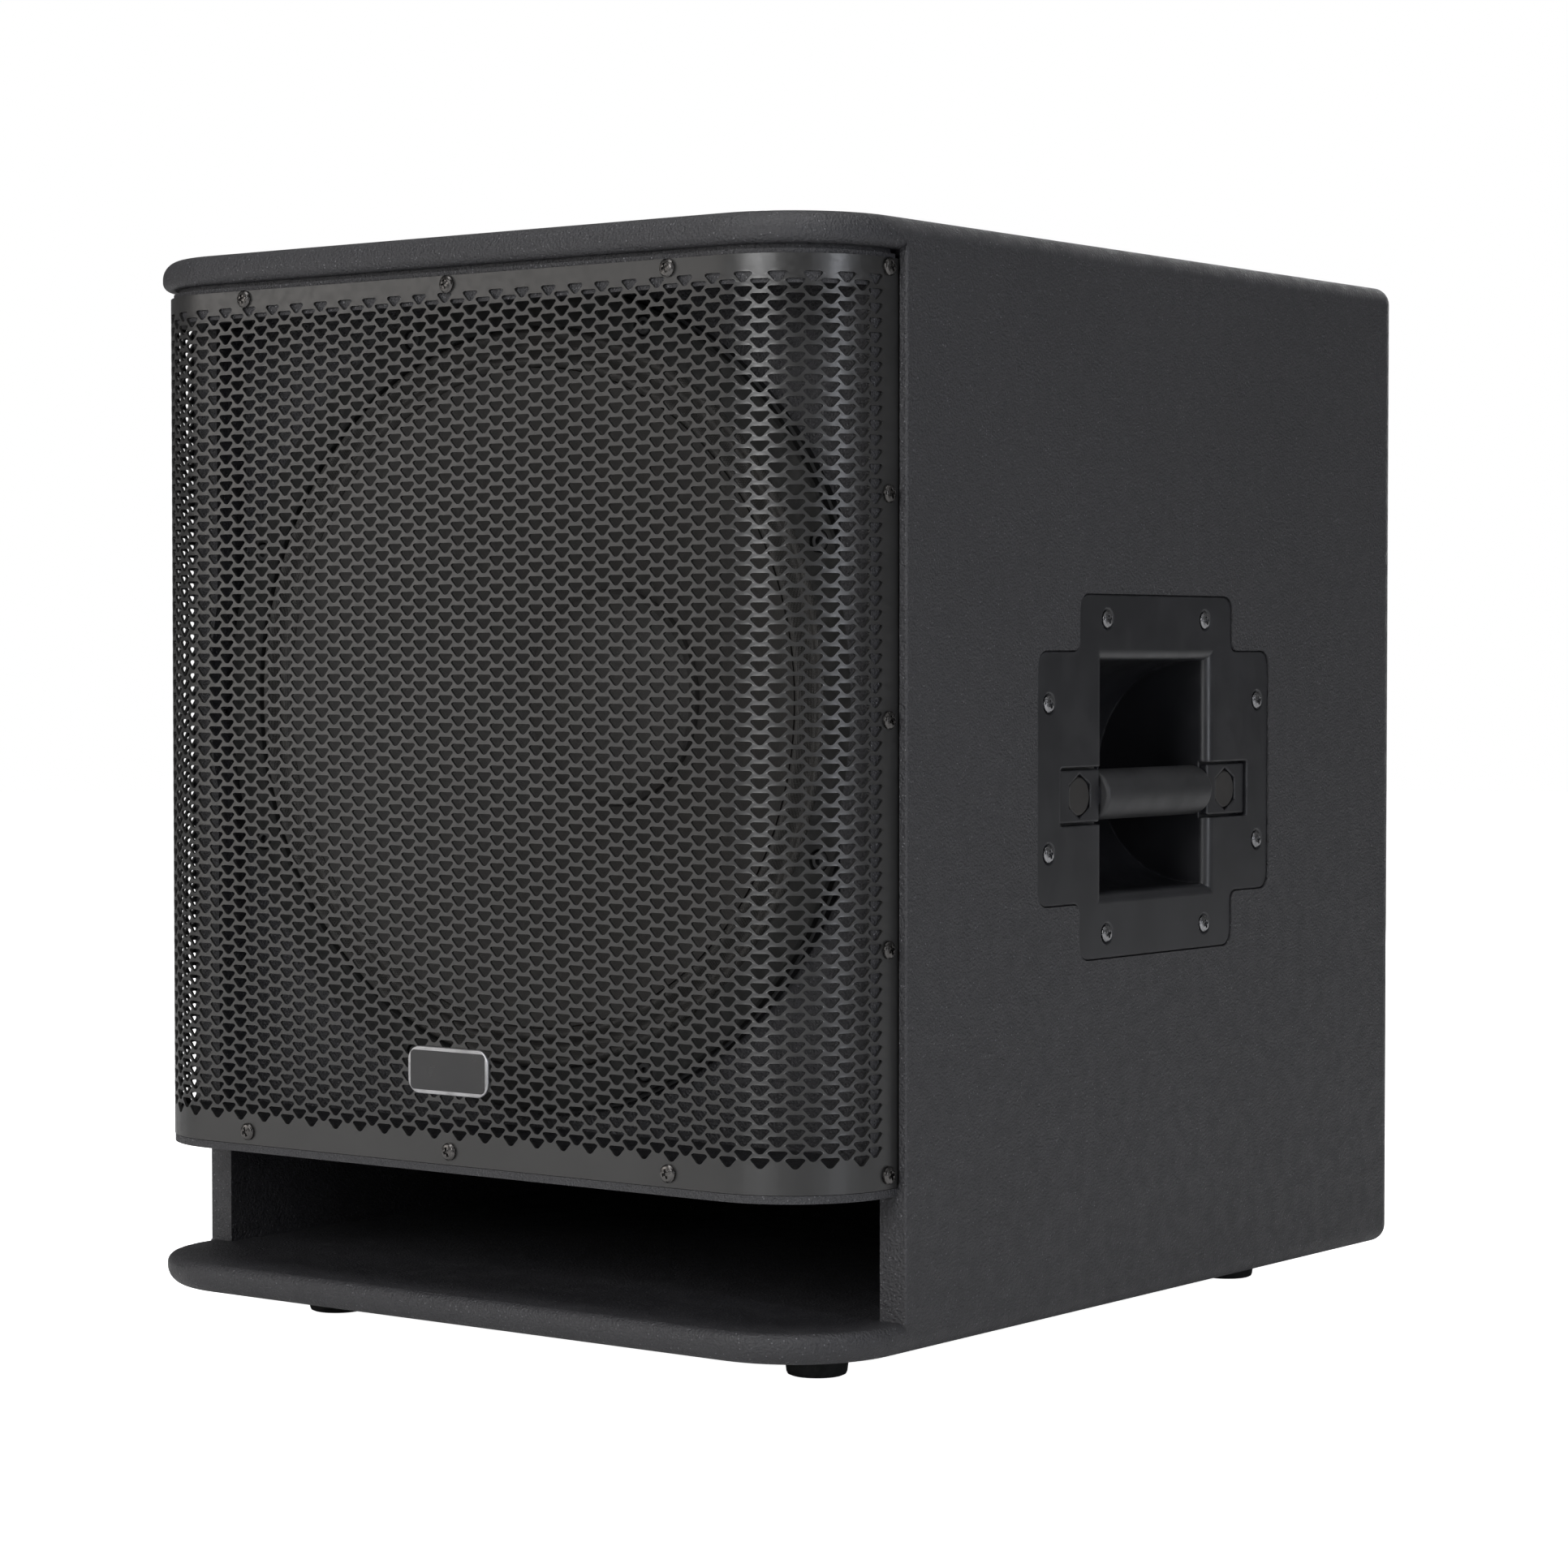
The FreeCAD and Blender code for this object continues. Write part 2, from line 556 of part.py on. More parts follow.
def make_feet():
    feet = []
    for x, y in foot_places():
        profile = [
            (0, 11.0),
            (6.5, 11.0),
            (6.5, 0.0),
            (FOOT_BOTTOM_RADIUS - 2.0, 0.0),
            (FOOT_BOTTOM_RADIUS - 0.6, 0.6),
            (FOOT_BOTTOM_RADIUS, 2.0),
            (FOOT_TOP_RADIUS, FOOT_HEIGHT),
            (0, FOOT_HEIGHT),
        ]
        foot = turned(profile, Vector(x, y, 0), Z_AXIS)
        feet.append(foot.cut(cylinder(2.6, (x, y, 5), Z_AXIS, 30)))
    return group(feet)


def make_foot_screws():
    screws = []
    for x, y in foot_places():
        screws.append(cross_head_screw(Vector(x, y, 11.0), Z_AXIS * -1, 5.2, 3.0, 2.4, 24.0))
    return group(screws)


def make_pole_socket():
    """Top socket for a 35 mm pole: recessed flange, tube and closed bottom."""
    flange_z = TOP_Z - 4.0
    floor_z = TOP_Z - POLE_BORE_DEPTH - 3.0
    socket = cylinder(56.5, (0, 0, flange_z), Z_AXIS, 4.0)
    rim = edges_at(socket, lambda p: abs(p.z - TOP_Z) < 1e-6)
    socket = socket.makeFillet(1.2, rim)
    socket = socket.fuse(cylinder(22.5, (0, 0, floor_z), Z_AXIS, flange_z - floor_z))
    bore_z = TOP_Z - POLE_BORE_DEPTH
    socket = socket.cut(cylinder(POLE_BORE_RADIUS, (0, 0, bore_z), Z_AXIS, POLE_BORE_DEPTH + 5))
    socket = socket.cut(Part.makeCone(POLE_BORE_RADIUS, POLE_BORE_RADIUS + 2.0, 2.0, Vector(0, 0, TOP_Z - 2.0), Z_AXIS))
    for x, y in pole_screw_places():
        socket = socket.cut(Part.makeCone(2.4, 5.4, 3.0, Vector(x, y, TOP_Z - 3.0), Z_AXIS))
        socket = socket.cut(cylinder(2.4, (x, y, flange_z - 1), Z_AXIS, 6))
    return socket


def pole_screw_places():
    ring = 42.0
    return [
        (ring * math.cos(math.radians(45 + 90 * k)), ring * math.sin(math.radians(45 + 90 * k)))
        for k in range(4)
    ]


def make_pole_screws():
    screws = []
    for x, y in pole_screw_places():
        profile = [(0, -16.0), (2.0, -16.0), (2.0, -2.6), (2.3, -2.6), (4.6, -0.4), (4.6, 0), (0, 0)]
        screw = turned(profile, Vector(x, y, TOP_Z - 0.2), Z_AXIS)
        for turn in (0, 90):
            cutter = Part.makeBox(5.4, 1.4, 3, Vector(-2.7, -0.7, -1.6))
            cutter.rotate(Vector(0, 0, 0), Z_AXIS, turn + 15)
            cutter.translate(Vector(x, y, TOP_Z - 0.2))
            screw = screw.cut(cutter)
        screws.append(screw)
    return group(screws)


# ---------------------------------------------------------------- driver
def driver_centre(depth):
    """Point on the driver's axis, depth behind the baffle's front face."""
    return Vector(0, BAFFLE_Y + depth, DRIVER_Z)


FRAME_FRONT = -5.0            # flange face, in front of the baffle
CONE_EDGE = -7.0
NECK_DEPTH = 70.0
SPIDER_DEPTH = 122.0
MOTOR_DEPTH = 138.0


def make_basket():
    centre = driver_centre(0)
    flange = turned([(203.0, FRAME_FRONT), (FRAME_RADIUS, FRAME_FRONT), (FRAME_RADIUS, 0), (203.0, 0)], centre, Y_AXIS)
    throat = turned([(203.0, FRAME_FRONT), (207.0, FRAME_FRONT), (207.0, 22.0), (203.0, 22.0)], centre, Y_AXIS)
    seat = turned([(96.0, SPIDER_DEPTH), (118.0, SPIDER_DEPTH), (118.0, MOTOR_DEPTH), (96.0, MOTOR_DEPTH)], centre, Y_AXIS)
    back = turned([(62.0, MOTOR_DEPTH - 5), (118.0, MOTOR_DEPTH - 5), (118.0, MOTOR_DEPTH), (62.0, MOTOR_DEPTH)], centre, Y_AXIS)
    front_ring = flange.fuse(throat)
    rear_ring = seat.fuse(back)
    for angle in bolt_angles():
        start = centre + radial(angle) * BOLT_CIRCLE_RADIUS - Y_AXIS * 10
        front_ring = front_ring.cut(Part.makeCylinder(3.3, 30, start, Y_AXIS))
    outline = [(199.0, 22.0), (207.0, 22.0), (118.0, SPIDER_DEPTH), (111.0, SPIDER_DEPTH)]
    corners = [Vector(r, BAFFLE_Y + y, DRIVER_Z - 11.0) for r, y in outline]
    spokes = []
    for k in range(8):
        bar = Part.Face(Part.makePolygon(corners + corners[:1])).extrude(Z_AXIS * 22)
        bar.rotate(centre, Y_AXIS, 22.5 + 45 * k)
        spokes.append(bar)
    return group([front_ring.removeSplitter(), rear_ring.removeSplitter()] + spokes)


def bolt_angles():
    return [22.5 + 45 * k for k in range(8)]


def radial(angle):
    return Vector(math.cos(math.radians(angle)), 0, math.sin(math.radians(angle)))


def make_gasket():
    centre = driver_centre(0)
    low = FRAME_FRONT - 6.0
    profile = [(206.0, FRAME_FRONT), (229.0, FRAME_FRONT), (229.0, low + 1.5), (227.5, low), (207.0, low), (206.0, low + 1)]
    ring = turned(profile, centre, Y_AXIS)
    for angle in bolt_angles():
        start = centre + radial(angle) * BOLT_CIRCLE_RADIUS - Y_AXIS * 20
        ring = ring.cut(Part.makeCylinder(6.2, 30, start, Y_AXIS))
    return ring


def make_driver_bolts():
    bolts = []
    for angle in bolt_angles():
        seat = driver_centre(FRAME_FRONT) + radial(angle) * BOLT_CIRCLE_RADIUS
        profile = [(0, 30.0), (3.0, 30.0), (3.0, 0), (5.0, 0), (5.0, -5.0), (4.4, -5.6), (0, -5.6)]
        bolt = turned(profile, seat, Y_AXIS)
        socket = Part.makeCylinder(2.6, 3.4, seat - Y_AXIS * 5.7, Y_AXIS)
        bolts.append(bolt.cut(socket))
    return group(bolts)


def roll_profile(inner, outer, depth, height, rolls, thickness, steps):
    """Closed profile of a rolled ring: rolls half waves between two radii, thickness along the axis."""
    front = []
    for k in range(rolls * steps + 1):
        share = k / (rolls * steps)
        wave = math.sin(math.pi * rolls * share)
        front.append((inner + (outer - inner) * share, depth - height * wave))
    return front + [(radius, along + thickness) for radius, along in reversed(front)]


def make_surround():
    """Rolled cloth edge between the cone and the frame."""
    return turned(roll_profile(CONE_RADIUS + 0.4, 205.8, CONE_EDGE + 1.0, 3.6, 3, 1.0, 8), driver_centre(0), Y_AXIS)


def cone_profile_radius(depth):
    """Cone radius at a depth; the wall flares towards its outer edge."""
    share = (depth - CONE_EDGE) / (NECK_DEPTH - CONE_EDGE)
    return CONE_RADIUS + (CAP_RADIUS - 6.0 - CONE_RADIUS) * math.pow(share, 0.88)


def make_cone():
    steps = 14
    wall = 1.6
    depths = [CONE_EDGE + (NECK_DEPTH - CONE_EDGE) * k / steps for k in range(steps + 1)]
    front = [(cone_profile_radius(depth), depth) for depth in depths]
    neck = [(COIL_OUTER_RADIUS + 0.2, NECK_DEPTH + 2.0), (COIL_OUTER_RADIUS + 0.2, NECK_DEPTH + 2.0 + wall)]
    back = [(radius, depth + wall) for radius, depth in reversed(front)]
    return turned(front + neck + back, driver_centre(0), Y_AXIS)


def make_dust_cap():
    """Domed cap glued over the cone's neck."""
    rim_depth = CONE_EDGE + (NECK_DEPTH - CONE_EDGE) * math.pow(
        (CONE_RADIUS - CAP_RADIUS) / (CONE_RADIUS - CAP_RADIUS + 6.0), 1 / 0.88
    )
    rim_depth = rim_depth - 0.4
    height = 15.0
    wall = 0.8
    steps = 10
    outer = []
    for k in range(steps + 1):
        angle = math.pi / 2 * k / steps
        outer.append((CAP_RADIUS * math.cos(angle), rim_depth - height * math.sin(angle)))
    outer[-1] = (0.0, rim_depth - height)
    inner = []
    for k in range(steps + 1):
        angle = math.pi / 2 * k / steps
        inner.append(((CAP_RADIUS - wall) * math.cos(angle), rim_depth - (height - wall) * math.sin(angle)))
    inner[-1] = (0.0, rim_depth - height + wall)
    return turned(outer + inner[::-1], driver_centre(0), Y_AXIS)


def make_coil_former():
    return tube(COIL_INNER_RADIUS + 0.8, COIL_INNER_RADIUS, tuple(driver_centre(NECK_DEPTH - 2)), Y_AXIS, 92.0)


def make_voice_coil():
    start = tuple(driver_centre(NECK_DEPTH + 68.0))
    return tube(COIL_OUTER_RADIUS, COIL_INNER_RADIUS + 0.8, start, Y_AXIS, 22.0)


def make_spider():
    profile = roll_profile(COIL_INNER_RADIUS + 1.2, 108.5, SPIDER_DEPTH - 3.0, 2.0, 9, 0.8, 4)
    return turned(profile, driver_centre(0), Y_AXIS)


def make_front_plate():
    return tube(100.0, GAP_OUTER_RADIUS, tuple(driver_centre(MOTOR_DEPTH)), Y_AXIS, 10.0)


def make_magnet():
    return tube(110.0, 60.0, tuple(driver_centre(MOTOR_DEPTH + 10.0)), Y_AXIS, 24.0)


def make_yoke():
    """Back plate and pole piece, vented through the middle."""
    floor = MOTOR_DEPTH + 34.0
    plate = cylinder(100.0, tuple(driver_centre(floor)), Y_AXIS, 11.0)
    pole = cylinder(POLE_RADIUS, tuple(driver_centre(MOTOR_DEPTH - 2.0)), Y_AXIS, 36.0)
    vent = cylinder(14.0, tuple(driver_centre(MOTOR_DEPTH - 10.0)), Y_AXIS, 80.0)
    return plate.fuse(pole).cut(vent).removeSplitter()


def make_driver_terminals():
    """Spring terminals on an insulating strip, screwed to the basket's back ring."""
    low_y = BAFFLE_Y + SPIDER_DEPTH + 2.0
    strip = box(-16, 16, low_y, low_y + 12.0, DRIVER_Z + 118.0, DRIVER_Z + 121.0)
    posts = []
    for x in (-10, 10):
        posts.append(cylinder(4.0, (x, low_y + 6.0, DRIVER_Z + 121.0), Z_AXIS, 9.0))
    return group([strip.fuse(posts[0]).fuse(posts[1])])


# ---------------------------------------------------------------- speaker lead inside the box
def rounded_path(points):
    """Straight runs joined by tangent arcs as large as the shorter run beside each turn allows."""
    start = points[0]
    edges = []
    radii = []
    for index in range(1, len(points) - 1):
        here = points[index]
        back = points[index - 1] - here
        ahead = points[index + 1] - here
        reach = 0.45 * min(back.Length, ahead.Length)
        turn = math.pi - back.getAngle(ahead)
        radius = reach / math.tan(turn / 2)
        back.normalize()
        ahead.normalize()
        half_angle = (math.pi - turn) / 2
        bisector = (back + ahead).normalize()
        middle = here + bisector * (radius / math.sin(half_angle) - radius)
        arc_start = here + back * reach
        arc_end = here + ahead * reach
        edges.append(Part.LineSegment(start, arc_start).toShape())
        edges.append(Part.Arc(arc_start, middle, arc_end).toShape())
        radii.append(round(radius, 1))
        start = arc_end
    edges.append(Part.LineSegment(start, points[-1]).toShape())
    return Part.Wire(edges), radii


LEAD_RADIUS = 2.6


def make_speaker_lead():
    """Two-core lead from the amplifier case up and over to the driver's terminals."""
    terminal_y = BAFFLE_Y + SPIDER_DEPTH + 8.0
    case_y = REAR_FACE_Y - 92.0
    points = [
        Vector(60.0, case_y, DRIVER_Z + 60.0),
        Vector(60.0, case_y - 32.0, DRIVER_Z + 64.0),
        Vector(58.0, case_y - 76.0, DRIVER_Z + 96.0),
        Vector(54.0, case_y - 118.0, DRIVER_Z + 134.0),
        Vector(44.0, case_y - 170.0, DRIVER_Z + 152.0),
        Vector(20.0, case_y - 226.0, DRIVER_Z + 158.0),
        Vector(2.0, terminal_y + 20.0, DRIVER_Z + 160.0),
        Vector(0, terminal_y, DRIVER_Z + 144.0),
        Vector(0, terminal_y, DRIVER_Z + 121.0),
    ]
    path, radii = rounded_path(points)
    print("speaker lead", round(path.Length, 1), "mm, radii", radii)
    section = Part.Wire(Part.makeCircle(LEAD_RADIUS, points[0], points[1] - points[0]))
    return path.makePipeShell([section], True, False)


# ---------------------------------------------------------------- amplifier
KNOB_Z = AMP_Z - 4.0
LEVEL_X = 70.0
CROSSOVER_X = 22.0
POLARITY_X = -24.0
GROUND_X = -52.0
SOCKET_Z = AMP_Z - 66.0
INPUT_X = (88.0, 48.0)
OUTPUT_X = (2.0, -38.0)
POWER_Z = AMP_Z - 128.0
INLET_X = 78.0
ROCKER_X = 18.0
LED_Z = AMP_Z + 34.0
LED_X = (-70.0, -50.0, -30.0)
SOCKET_HOLE_RADIUS = 11.9
INLET_SIZE = (27.4, 20.2)
ROCKER_SIZE = (27.0, 21.6)


def make_amp_plate():
    plate = prism(rectangle(0, AMP_Z, AMP_WIDTH, AMP_TALL), 6.0, upright(REAR_FACE_Y), Y_AXIS * AMP_SHEET)
    for x in INPUT_X + OUTPUT_X:
        plate = plate.cut(cylinder(SOCKET_HOLE_RADIUS + 0.2, (x, REAR_FACE_Y - 1, SOCKET_Z), Y_AXIS, 9))
    for x in INPUT_X:
        window = box(x - 3.8, x + 3.8, REAR_FACE_Y - 1, AMP_FACE_Y + 1, SOCKET_Z + 8.0, SOCKET_Z + 14.4)
        plate = plate.cut(window)
    for x in (LEVEL_X, CROSSOVER_X):
        plate = plate.cut(cylinder(3.6, (x, REAR_FACE_Y - 1, KNOB_Z), Y_AXIS, 9))
    for x in (POLARITY_X, GROUND_X):
        plate = plate.cut(cylinder(4.6, (x, REAR_FACE_Y - 1, KNOB_Z), Y_AXIS, 9))
    for x in LED_X:
        plate = plate.cut(cylinder(1.6, (x, REAR_FACE_Y - 1, LED_Z), Y_AXIS, 9))
    inlet = rectangle(INLET_X, POWER_Z, INLET_SIZE[0] + 0.4, INLET_SIZE[1] + 12.4)
    plate = plate.cut(prism(inlet, 1.0, upright(REAR_FACE_Y - 1), Y_AXIS * 9))
    rocker = rectangle(ROCKER_X, POWER_Z, ROCKER_SIZE[0] + 0.4, ROCKER_SIZE[1] + 0.4)
    plate = plate.cut(prism(rocker, 1.0, upright(REAR_FACE_Y - 1), Y_AXIS * 9))
    return make_screw_holes(plate, amp_screw_places(), 2.2, 6.0)


def amp_screw_places():
    """Seats of the plate screws, a row down each side and one in the middle of the top and bottom."""
    spots = []
    for side in (-1, 1):
        for level in (-1, -0.34, 0.34, 1):
            spots.append((side * (AMP_WIDTH / 2 - 7.5), AMP_Z + level * (AMP_TALL / 2 - 8.0)))
    for level in (-1, 1):
        spots.append((0.0, AMP_Z + level * (AMP_TALL / 2 - 7.5)))
    return [(Vector(x, AMP_FACE_Y, z), Y_AXIS) for x, z in spots]


def make_amp_screws():
    return group([cross_head_screw(seat, out, 4.2, 2.3, 2.0, 16.0) for seat, out in amp_screw_places()])


def make_heat_sink():
    low_z = AMP_Z + 58.0
    high_z = AMP_Z + 154.0
    sink = box(-112.0, 112.0, AMP_FACE_Y, AMP_FACE_Y + 3.0, low_z, high_z)
    count = 29
    for k in range(count):
        x = -111.0 + 222.0 * k / (count - 1)
        sink = sink.fuse(box(x - 1.0, x + 1.0, AMP_FACE_Y + 2.9, REAR_Y - 1.5, low_z, high_z))
    return sink.removeSplitter()


def make_amp_case():
    """Folded sheet box behind the plate; open towards the plate."""
    sheet = 1.5
    half = AMP_WIDTH / 2 - 19.0
    low_z = AMP_Z - AMP_TALL / 2 + 19.0
    high_z = AMP_Z + AMP_TALL / 2 - 19.0
    low_y = REAR_FACE_Y - 92.0
    outer = box(-half, half, low_y, REAR_FACE_Y, low_z, high_z)
    inner = box(-half + sheet, half - sheet, low_y + sheet, REAR_FACE_Y + 1, low_z + sheet, high_z - sheet)
    return outer.cut(inner)


def make_circuit_board():
    """Amplifier board with its larger components."""
    back_y = REAR_FACE_Y - 62.0
    board = box(-108.0, 108.0, back_y, back_y + 1.6, AMP_Z - 20.0, AMP_Z + 140.0)
    for x in (-80.0, -48.0):
        for z in (AMP_Z + 20.0, AMP_Z + 56.0):
            board = board.fuse(cylinder(12.5, (x, back_y + 1.0, z), Y_AXIS, 40.0))
    for k in range(4):
        x = 10.0 + 24.0 * k
        board = board.fuse(box(x, x + 16.0, back_y + 1.0, back_y + 21.0, AMP_Z + 110.0, AMP_Z + 115.0))
    board = board.fuse(box(14.0, 46.0, back_y + 1.0, back_y + 27.0, AMP_Z + 30.0, AMP_Z + 62.0))
    return board.removeSplitter()


def make_transformer():
    """Toroidal mains transformer on the case floor, with its clamping dish."""
    centre = Vector(-62.0, REAR_FACE_Y - 88.0, AMP_Z - 92.0)
    ring = tube(46.0, 16.0, tuple(centre), Y_AXIS, 44.0)
    rims = [edge for edge in ring.Edges if isinstance(edge.Curve, Part.Circle)]
    ring = ring.makeFillet(7.0, rims)
    dish = turned([(0, 44.0), (28.0, 44.0), (28.0, 45.5), (0, 45.5)], centre, Y_AXIS)
    bolt = turned([(0, 0.0), (4.0, 0.0), (4.0, 50.0), (0, 50.0)], centre, Y_AXIS)
    return group([ring, dish.fuse(bolt)])


def make_knob(x):
    """Control knob with its shaft; the skirt is fluted and a pointer is cut in the face."""
    face_y = AMP_FACE_Y + 11.5
    profile = [(0, 0.8), (7.6, 0.8), (7.6, 1.8), (6.9, 2.2), (6.3, 10.8), (5.6, 11.5), (0, 11.5)]
    knob = turned(profile, Vector(x, AMP_FACE_Y, KNOB_Z), Y_AXIS)
    for k in range(18):
        angle = math.radians(20 * k)
        start = Vector(x + 7.0 * math.cos(angle), AMP_FACE_Y + 2.2, KNOB_Z + 7.0 * math.sin(angle))
        knob = knob.cut(Part.makeCylinder(0.7, 12, start, Y_AXIS))
    knob = knob.cut(box(x - 0.5, x + 0.5, face_y - 0.7, face_y + 1, KNOB_Z + 0.5, KNOB_Z + 8))
    shaft = cylinder(3.0, (x, AMP_FACE_Y - 12.0, KNOB_Z), Y_AXIS, 14.0)
    return knob.fuse(shaft).removeSplitter()


def make_potentiometers():
    bodies = []
    for x in (LEVEL_X, CROSSOVER_X):
        body = cylinder(8.5, (x, REAR_FACE_Y - 13.0, KNOB_Z), Y_AXIS, 9.0)
        collar = cylinder(3.5, (x, REAR_FACE_Y - 4.0, KNOB_Z), Y_AXIS, 7.2)
        body = body.fuse(collar).cut(cylinder(3.05, (x, AMP_FACE_Y - 12.1, KNOB_Z), Y_AXIS, 20.0))
        bodies.append(body)
    return group(bodies)


def make_push_button(x):
    button = cylinder(3.6, (x, REAR_FACE_Y - 8.0, KNOB_Z), Y_AXIS, AMP_SHEET + 13.0)
    rim = edges_at(button, lambda p: abs(p.y - (REAR_FACE_Y + AMP_SHEET + 5.0)) < 1e-6)
    return button.makeFillet(0.6, rim)


def make_button_switches():
    bodies = []
    for x in (POLARITY_X, GROUND_X):
        body = box(x - 6.0, x + 6.0, REAR_FACE_Y - 24.0, REAR_FACE_Y - 2.0, KNOB_Z - 6.0, KNOB_Z + 6.0)
        sleeve = cylinder(4.5, (x, REAR_FACE_Y - 3.0, KNOB_Z), Y_AXIS, AMP_SHEET + 3.6)
        body = body.fuse(sleeve).cut(cylinder(3.66, (x, REAR_FACE_Y - 14.0, KNOB_Z), Y_AXIS, 60.0))
        bodies.append(body)
    return group(bodies)


def make_status_lights():
    lights = []
    for x in LED_X:
        profile = [(0, -6.0), (1.5, -6.0), (1.5, 3.6), (1.2, 4.2), (0.6, 4.6), (0, 4.6)]
        lights.append(turned(profile, Vector(x, REAR_FACE_Y, LED_Z), Y_AXIS))
    return group(lights)


def socket_flange(x):
    flange = prism(rectangle(x, SOCKET_Z, 26.0, 31.0), 2.5, upright(AMP_FACE_Y), Y_AXIS * 2.0)
    for side_x, side_z in ((-1, 1), (1, -1)):
        place = (x + side_x * 9.5, AMP_FACE_Y - 1, SOCKET_Z + side_z * 12.0)
        flange = flange.cut(cylinder(1.5, place, Y_AXIS, 5))
    return flange


def make_input_socket(x):
    """Female three-pole socket with its annular groove, contact holes and a window for the latch."""
    body = cylinder(SOCKET_HOLE_RADIUS, (x, REAR_FACE_Y - 20.0, SOCKET_Z), Y_AXIS, AMP_SHEET + 20.0)
    body = body.fuse(socket_flange(x))
    groove = tube(9.4, 7.6, (x, AMP_FACE_Y - 12.0, SOCKET_Z), Y_AXIS, 20.0)
    body = body.cut(groove)
    for angle in (90, 210, 330):
        hole = radial(angle) * 5.0 + Vector(x, AMP_FACE_Y - 10.0, SOCKET_Z)
        body = body.cut(Part.makeCylinder(1.4, 20, hole, Y_AXIS))
    window = box(x - 3.6, x + 3.6, AMP_FACE_Y - 6.0, AMP_FACE_Y + 5.0, SOCKET_Z + 9.0, SOCKET_Z + 14.2)
    return body.cut(window)


def make_output_socket(x):
    """Male three-pole socket: open cup with three pins."""
    body = cylinder(SOCKET_HOLE_RADIUS, (x, REAR_FACE_Y - 20.0, SOCKET_Z), Y_AXIS, AMP_SHEET + 20.0)
    body = body.fuse(socket_flange(x))
    body = body.cut(cylinder(9.5, (x, AMP_FACE_Y - 12.0, SOCKET_Z), Y_AXIS, 20.0))
    for angle in (90, 210, 330):
        foot = radial(angle) * 5.6 + Vector(x, AMP_FACE_Y - 13.0, SOCKET_Z)
        body = body.fuse(Part.makeCylinder(1.2, 12.0, foot, Y_AXIS))
    return body.removeSplitter()


def make_latch(x):
    """Release tab of an input socket."""
    tab = box(x - 3.4, x + 3.4, AMP_FACE_Y - 3.6, AMP_FACE_Y + 3.4, SOCKET_Z + 9.5, SOCKET_Z + 13.8)
    rim = edges_at(tab, lambda p: abs(p.y - (AMP_FACE_Y + 3.4)) < 1e-6)
    return tab.makeFillet(0.8, rim)


def make_socket_screws():
    screws = []
    for x in INPUT_X + OUTPUT_X:
        for side_x, side_z in ((-1, 1), (1, -1)):
            seat = Vector(x + side_x * 9.5, AMP_FACE_Y + 2.0, SOCKET_Z + side_z * 12.0)
            screws.append(cross_head_screw(seat, Y_AXIS, 2.7, 1.7, 1.4, 3.4))
    return group(screws)


def make_mains_inlet():
    """Three-pin mains inlet with a bay for its fuse drawer under the pins."""
    flange = prism(rectangle(INLET_X, POWER_Z, 50.0, 38.0), 4.0, upright(AMP_FACE_Y), Y_AXIS * 2.5)
    body = box(INLET_X - 13.7, INLET_X + 13.7, REAR_FACE_Y - 18.0, AMP_FACE_Y + 1, POWER_Z - 16.2, POWER_Z + 16.2)
    body = body.fuse(flange)
    mouth = rectangle(INLET_X, POWER_Z + 5.4, 24.0, 16.4)
    body = body.cut(prism(mouth, [3.5, 3.5, 1.0, 1.0], upright(AMP_FACE_Y - 15.0), Y_AXIS * 20))
    for x, z in ((-7.0, 4.4), (0.0, 8.4), (7.0, 4.4)):
        pin = box(INLET_X + x - 1.0, INLET_X + x + 1.0, AMP_FACE_Y - 17, AMP_FACE_Y - 1, POWER_Z + z - 2, POWER_Z + z + 2)
        body = body.fuse(pin)
    bay = box(INLET_X - 9.1, INLET_X + 9.1, AMP_FACE_Y - 13.0, AMP_FACE_Y + 10, POWER_Z - 14.1, POWER_Z - 5.9)
    body = body.cut(bay)
    for side in (-1, 1):
        body = body.cut(cylinder(1.8, (INLET_X + side * 20.0, REAR_FACE_Y, POWER_Z), Y_AXIS, 20))
    return body.removeSplitter()


def make_fuse_drawer():
    low_y = AMP_FACE_Y - 12.6
    drawer = box(INLET_X - 9.0, INLET_X + 9.0, low_y, AMP_FACE_Y + 3.6, POWER_Z - 14.0, POWER_Z - 6.0)
    drawer = drawer.cut(cylinder(2.7, (INLET_X - 8.0, low_y + 4.4, POWER_Z - 6.0), X_AXIS, 16.0))
    return drawer.cut(box(INLET_X - 3, INLET_X + 3, AMP_FACE_Y + 2.6, AMP_FACE_Y + 5, POWER_Z - 7.4, POWER_Z - 5))


def make_inlet_screws():
    screws = []
    for side in (-1, 1):
        seat = Vector(INLET_X + side * 20.0, AMP_FACE_Y + 2.5, POWER_Z)
        screws.append(cross_head_screw(seat, Y_AXIS, 3.2, 2.0, 1.7, 4.4))
    return group(screws)


ROCKER_PIVOT_Y = AMP_FACE_Y - 3.0
ROCKER_TILT = 9.0


def make_rocker_frame():
    flange = prism(rectangle(ROCKER_X, POWER_Z, 33.0, 27.0), 2.0, upright(AMP_FACE_Y), Y_AXIS * 1.8)
    body = box(ROCKER_X - 13.5, ROCKER_X + 13.5, REAR_FACE_Y - 20, AMP_FACE_Y + 1, POWER_Z - 10.8, POWER_Z + 10.8)
    body = body.fuse(flange)
    body = body.cut(box(ROCKER_X - 11.2, ROCKER_X + 11.2, REAR_FACE_Y - 9, 400, POWER_Z - 8.4, POWER_Z + 8.4))
    axle = cylinder(1.53, (ROCKER_X, ROCKER_PIVOT_Y, POWER_Z - 9.8), Z_AXIS, 19.6)
    return body.cut(axle).removeSplitter()


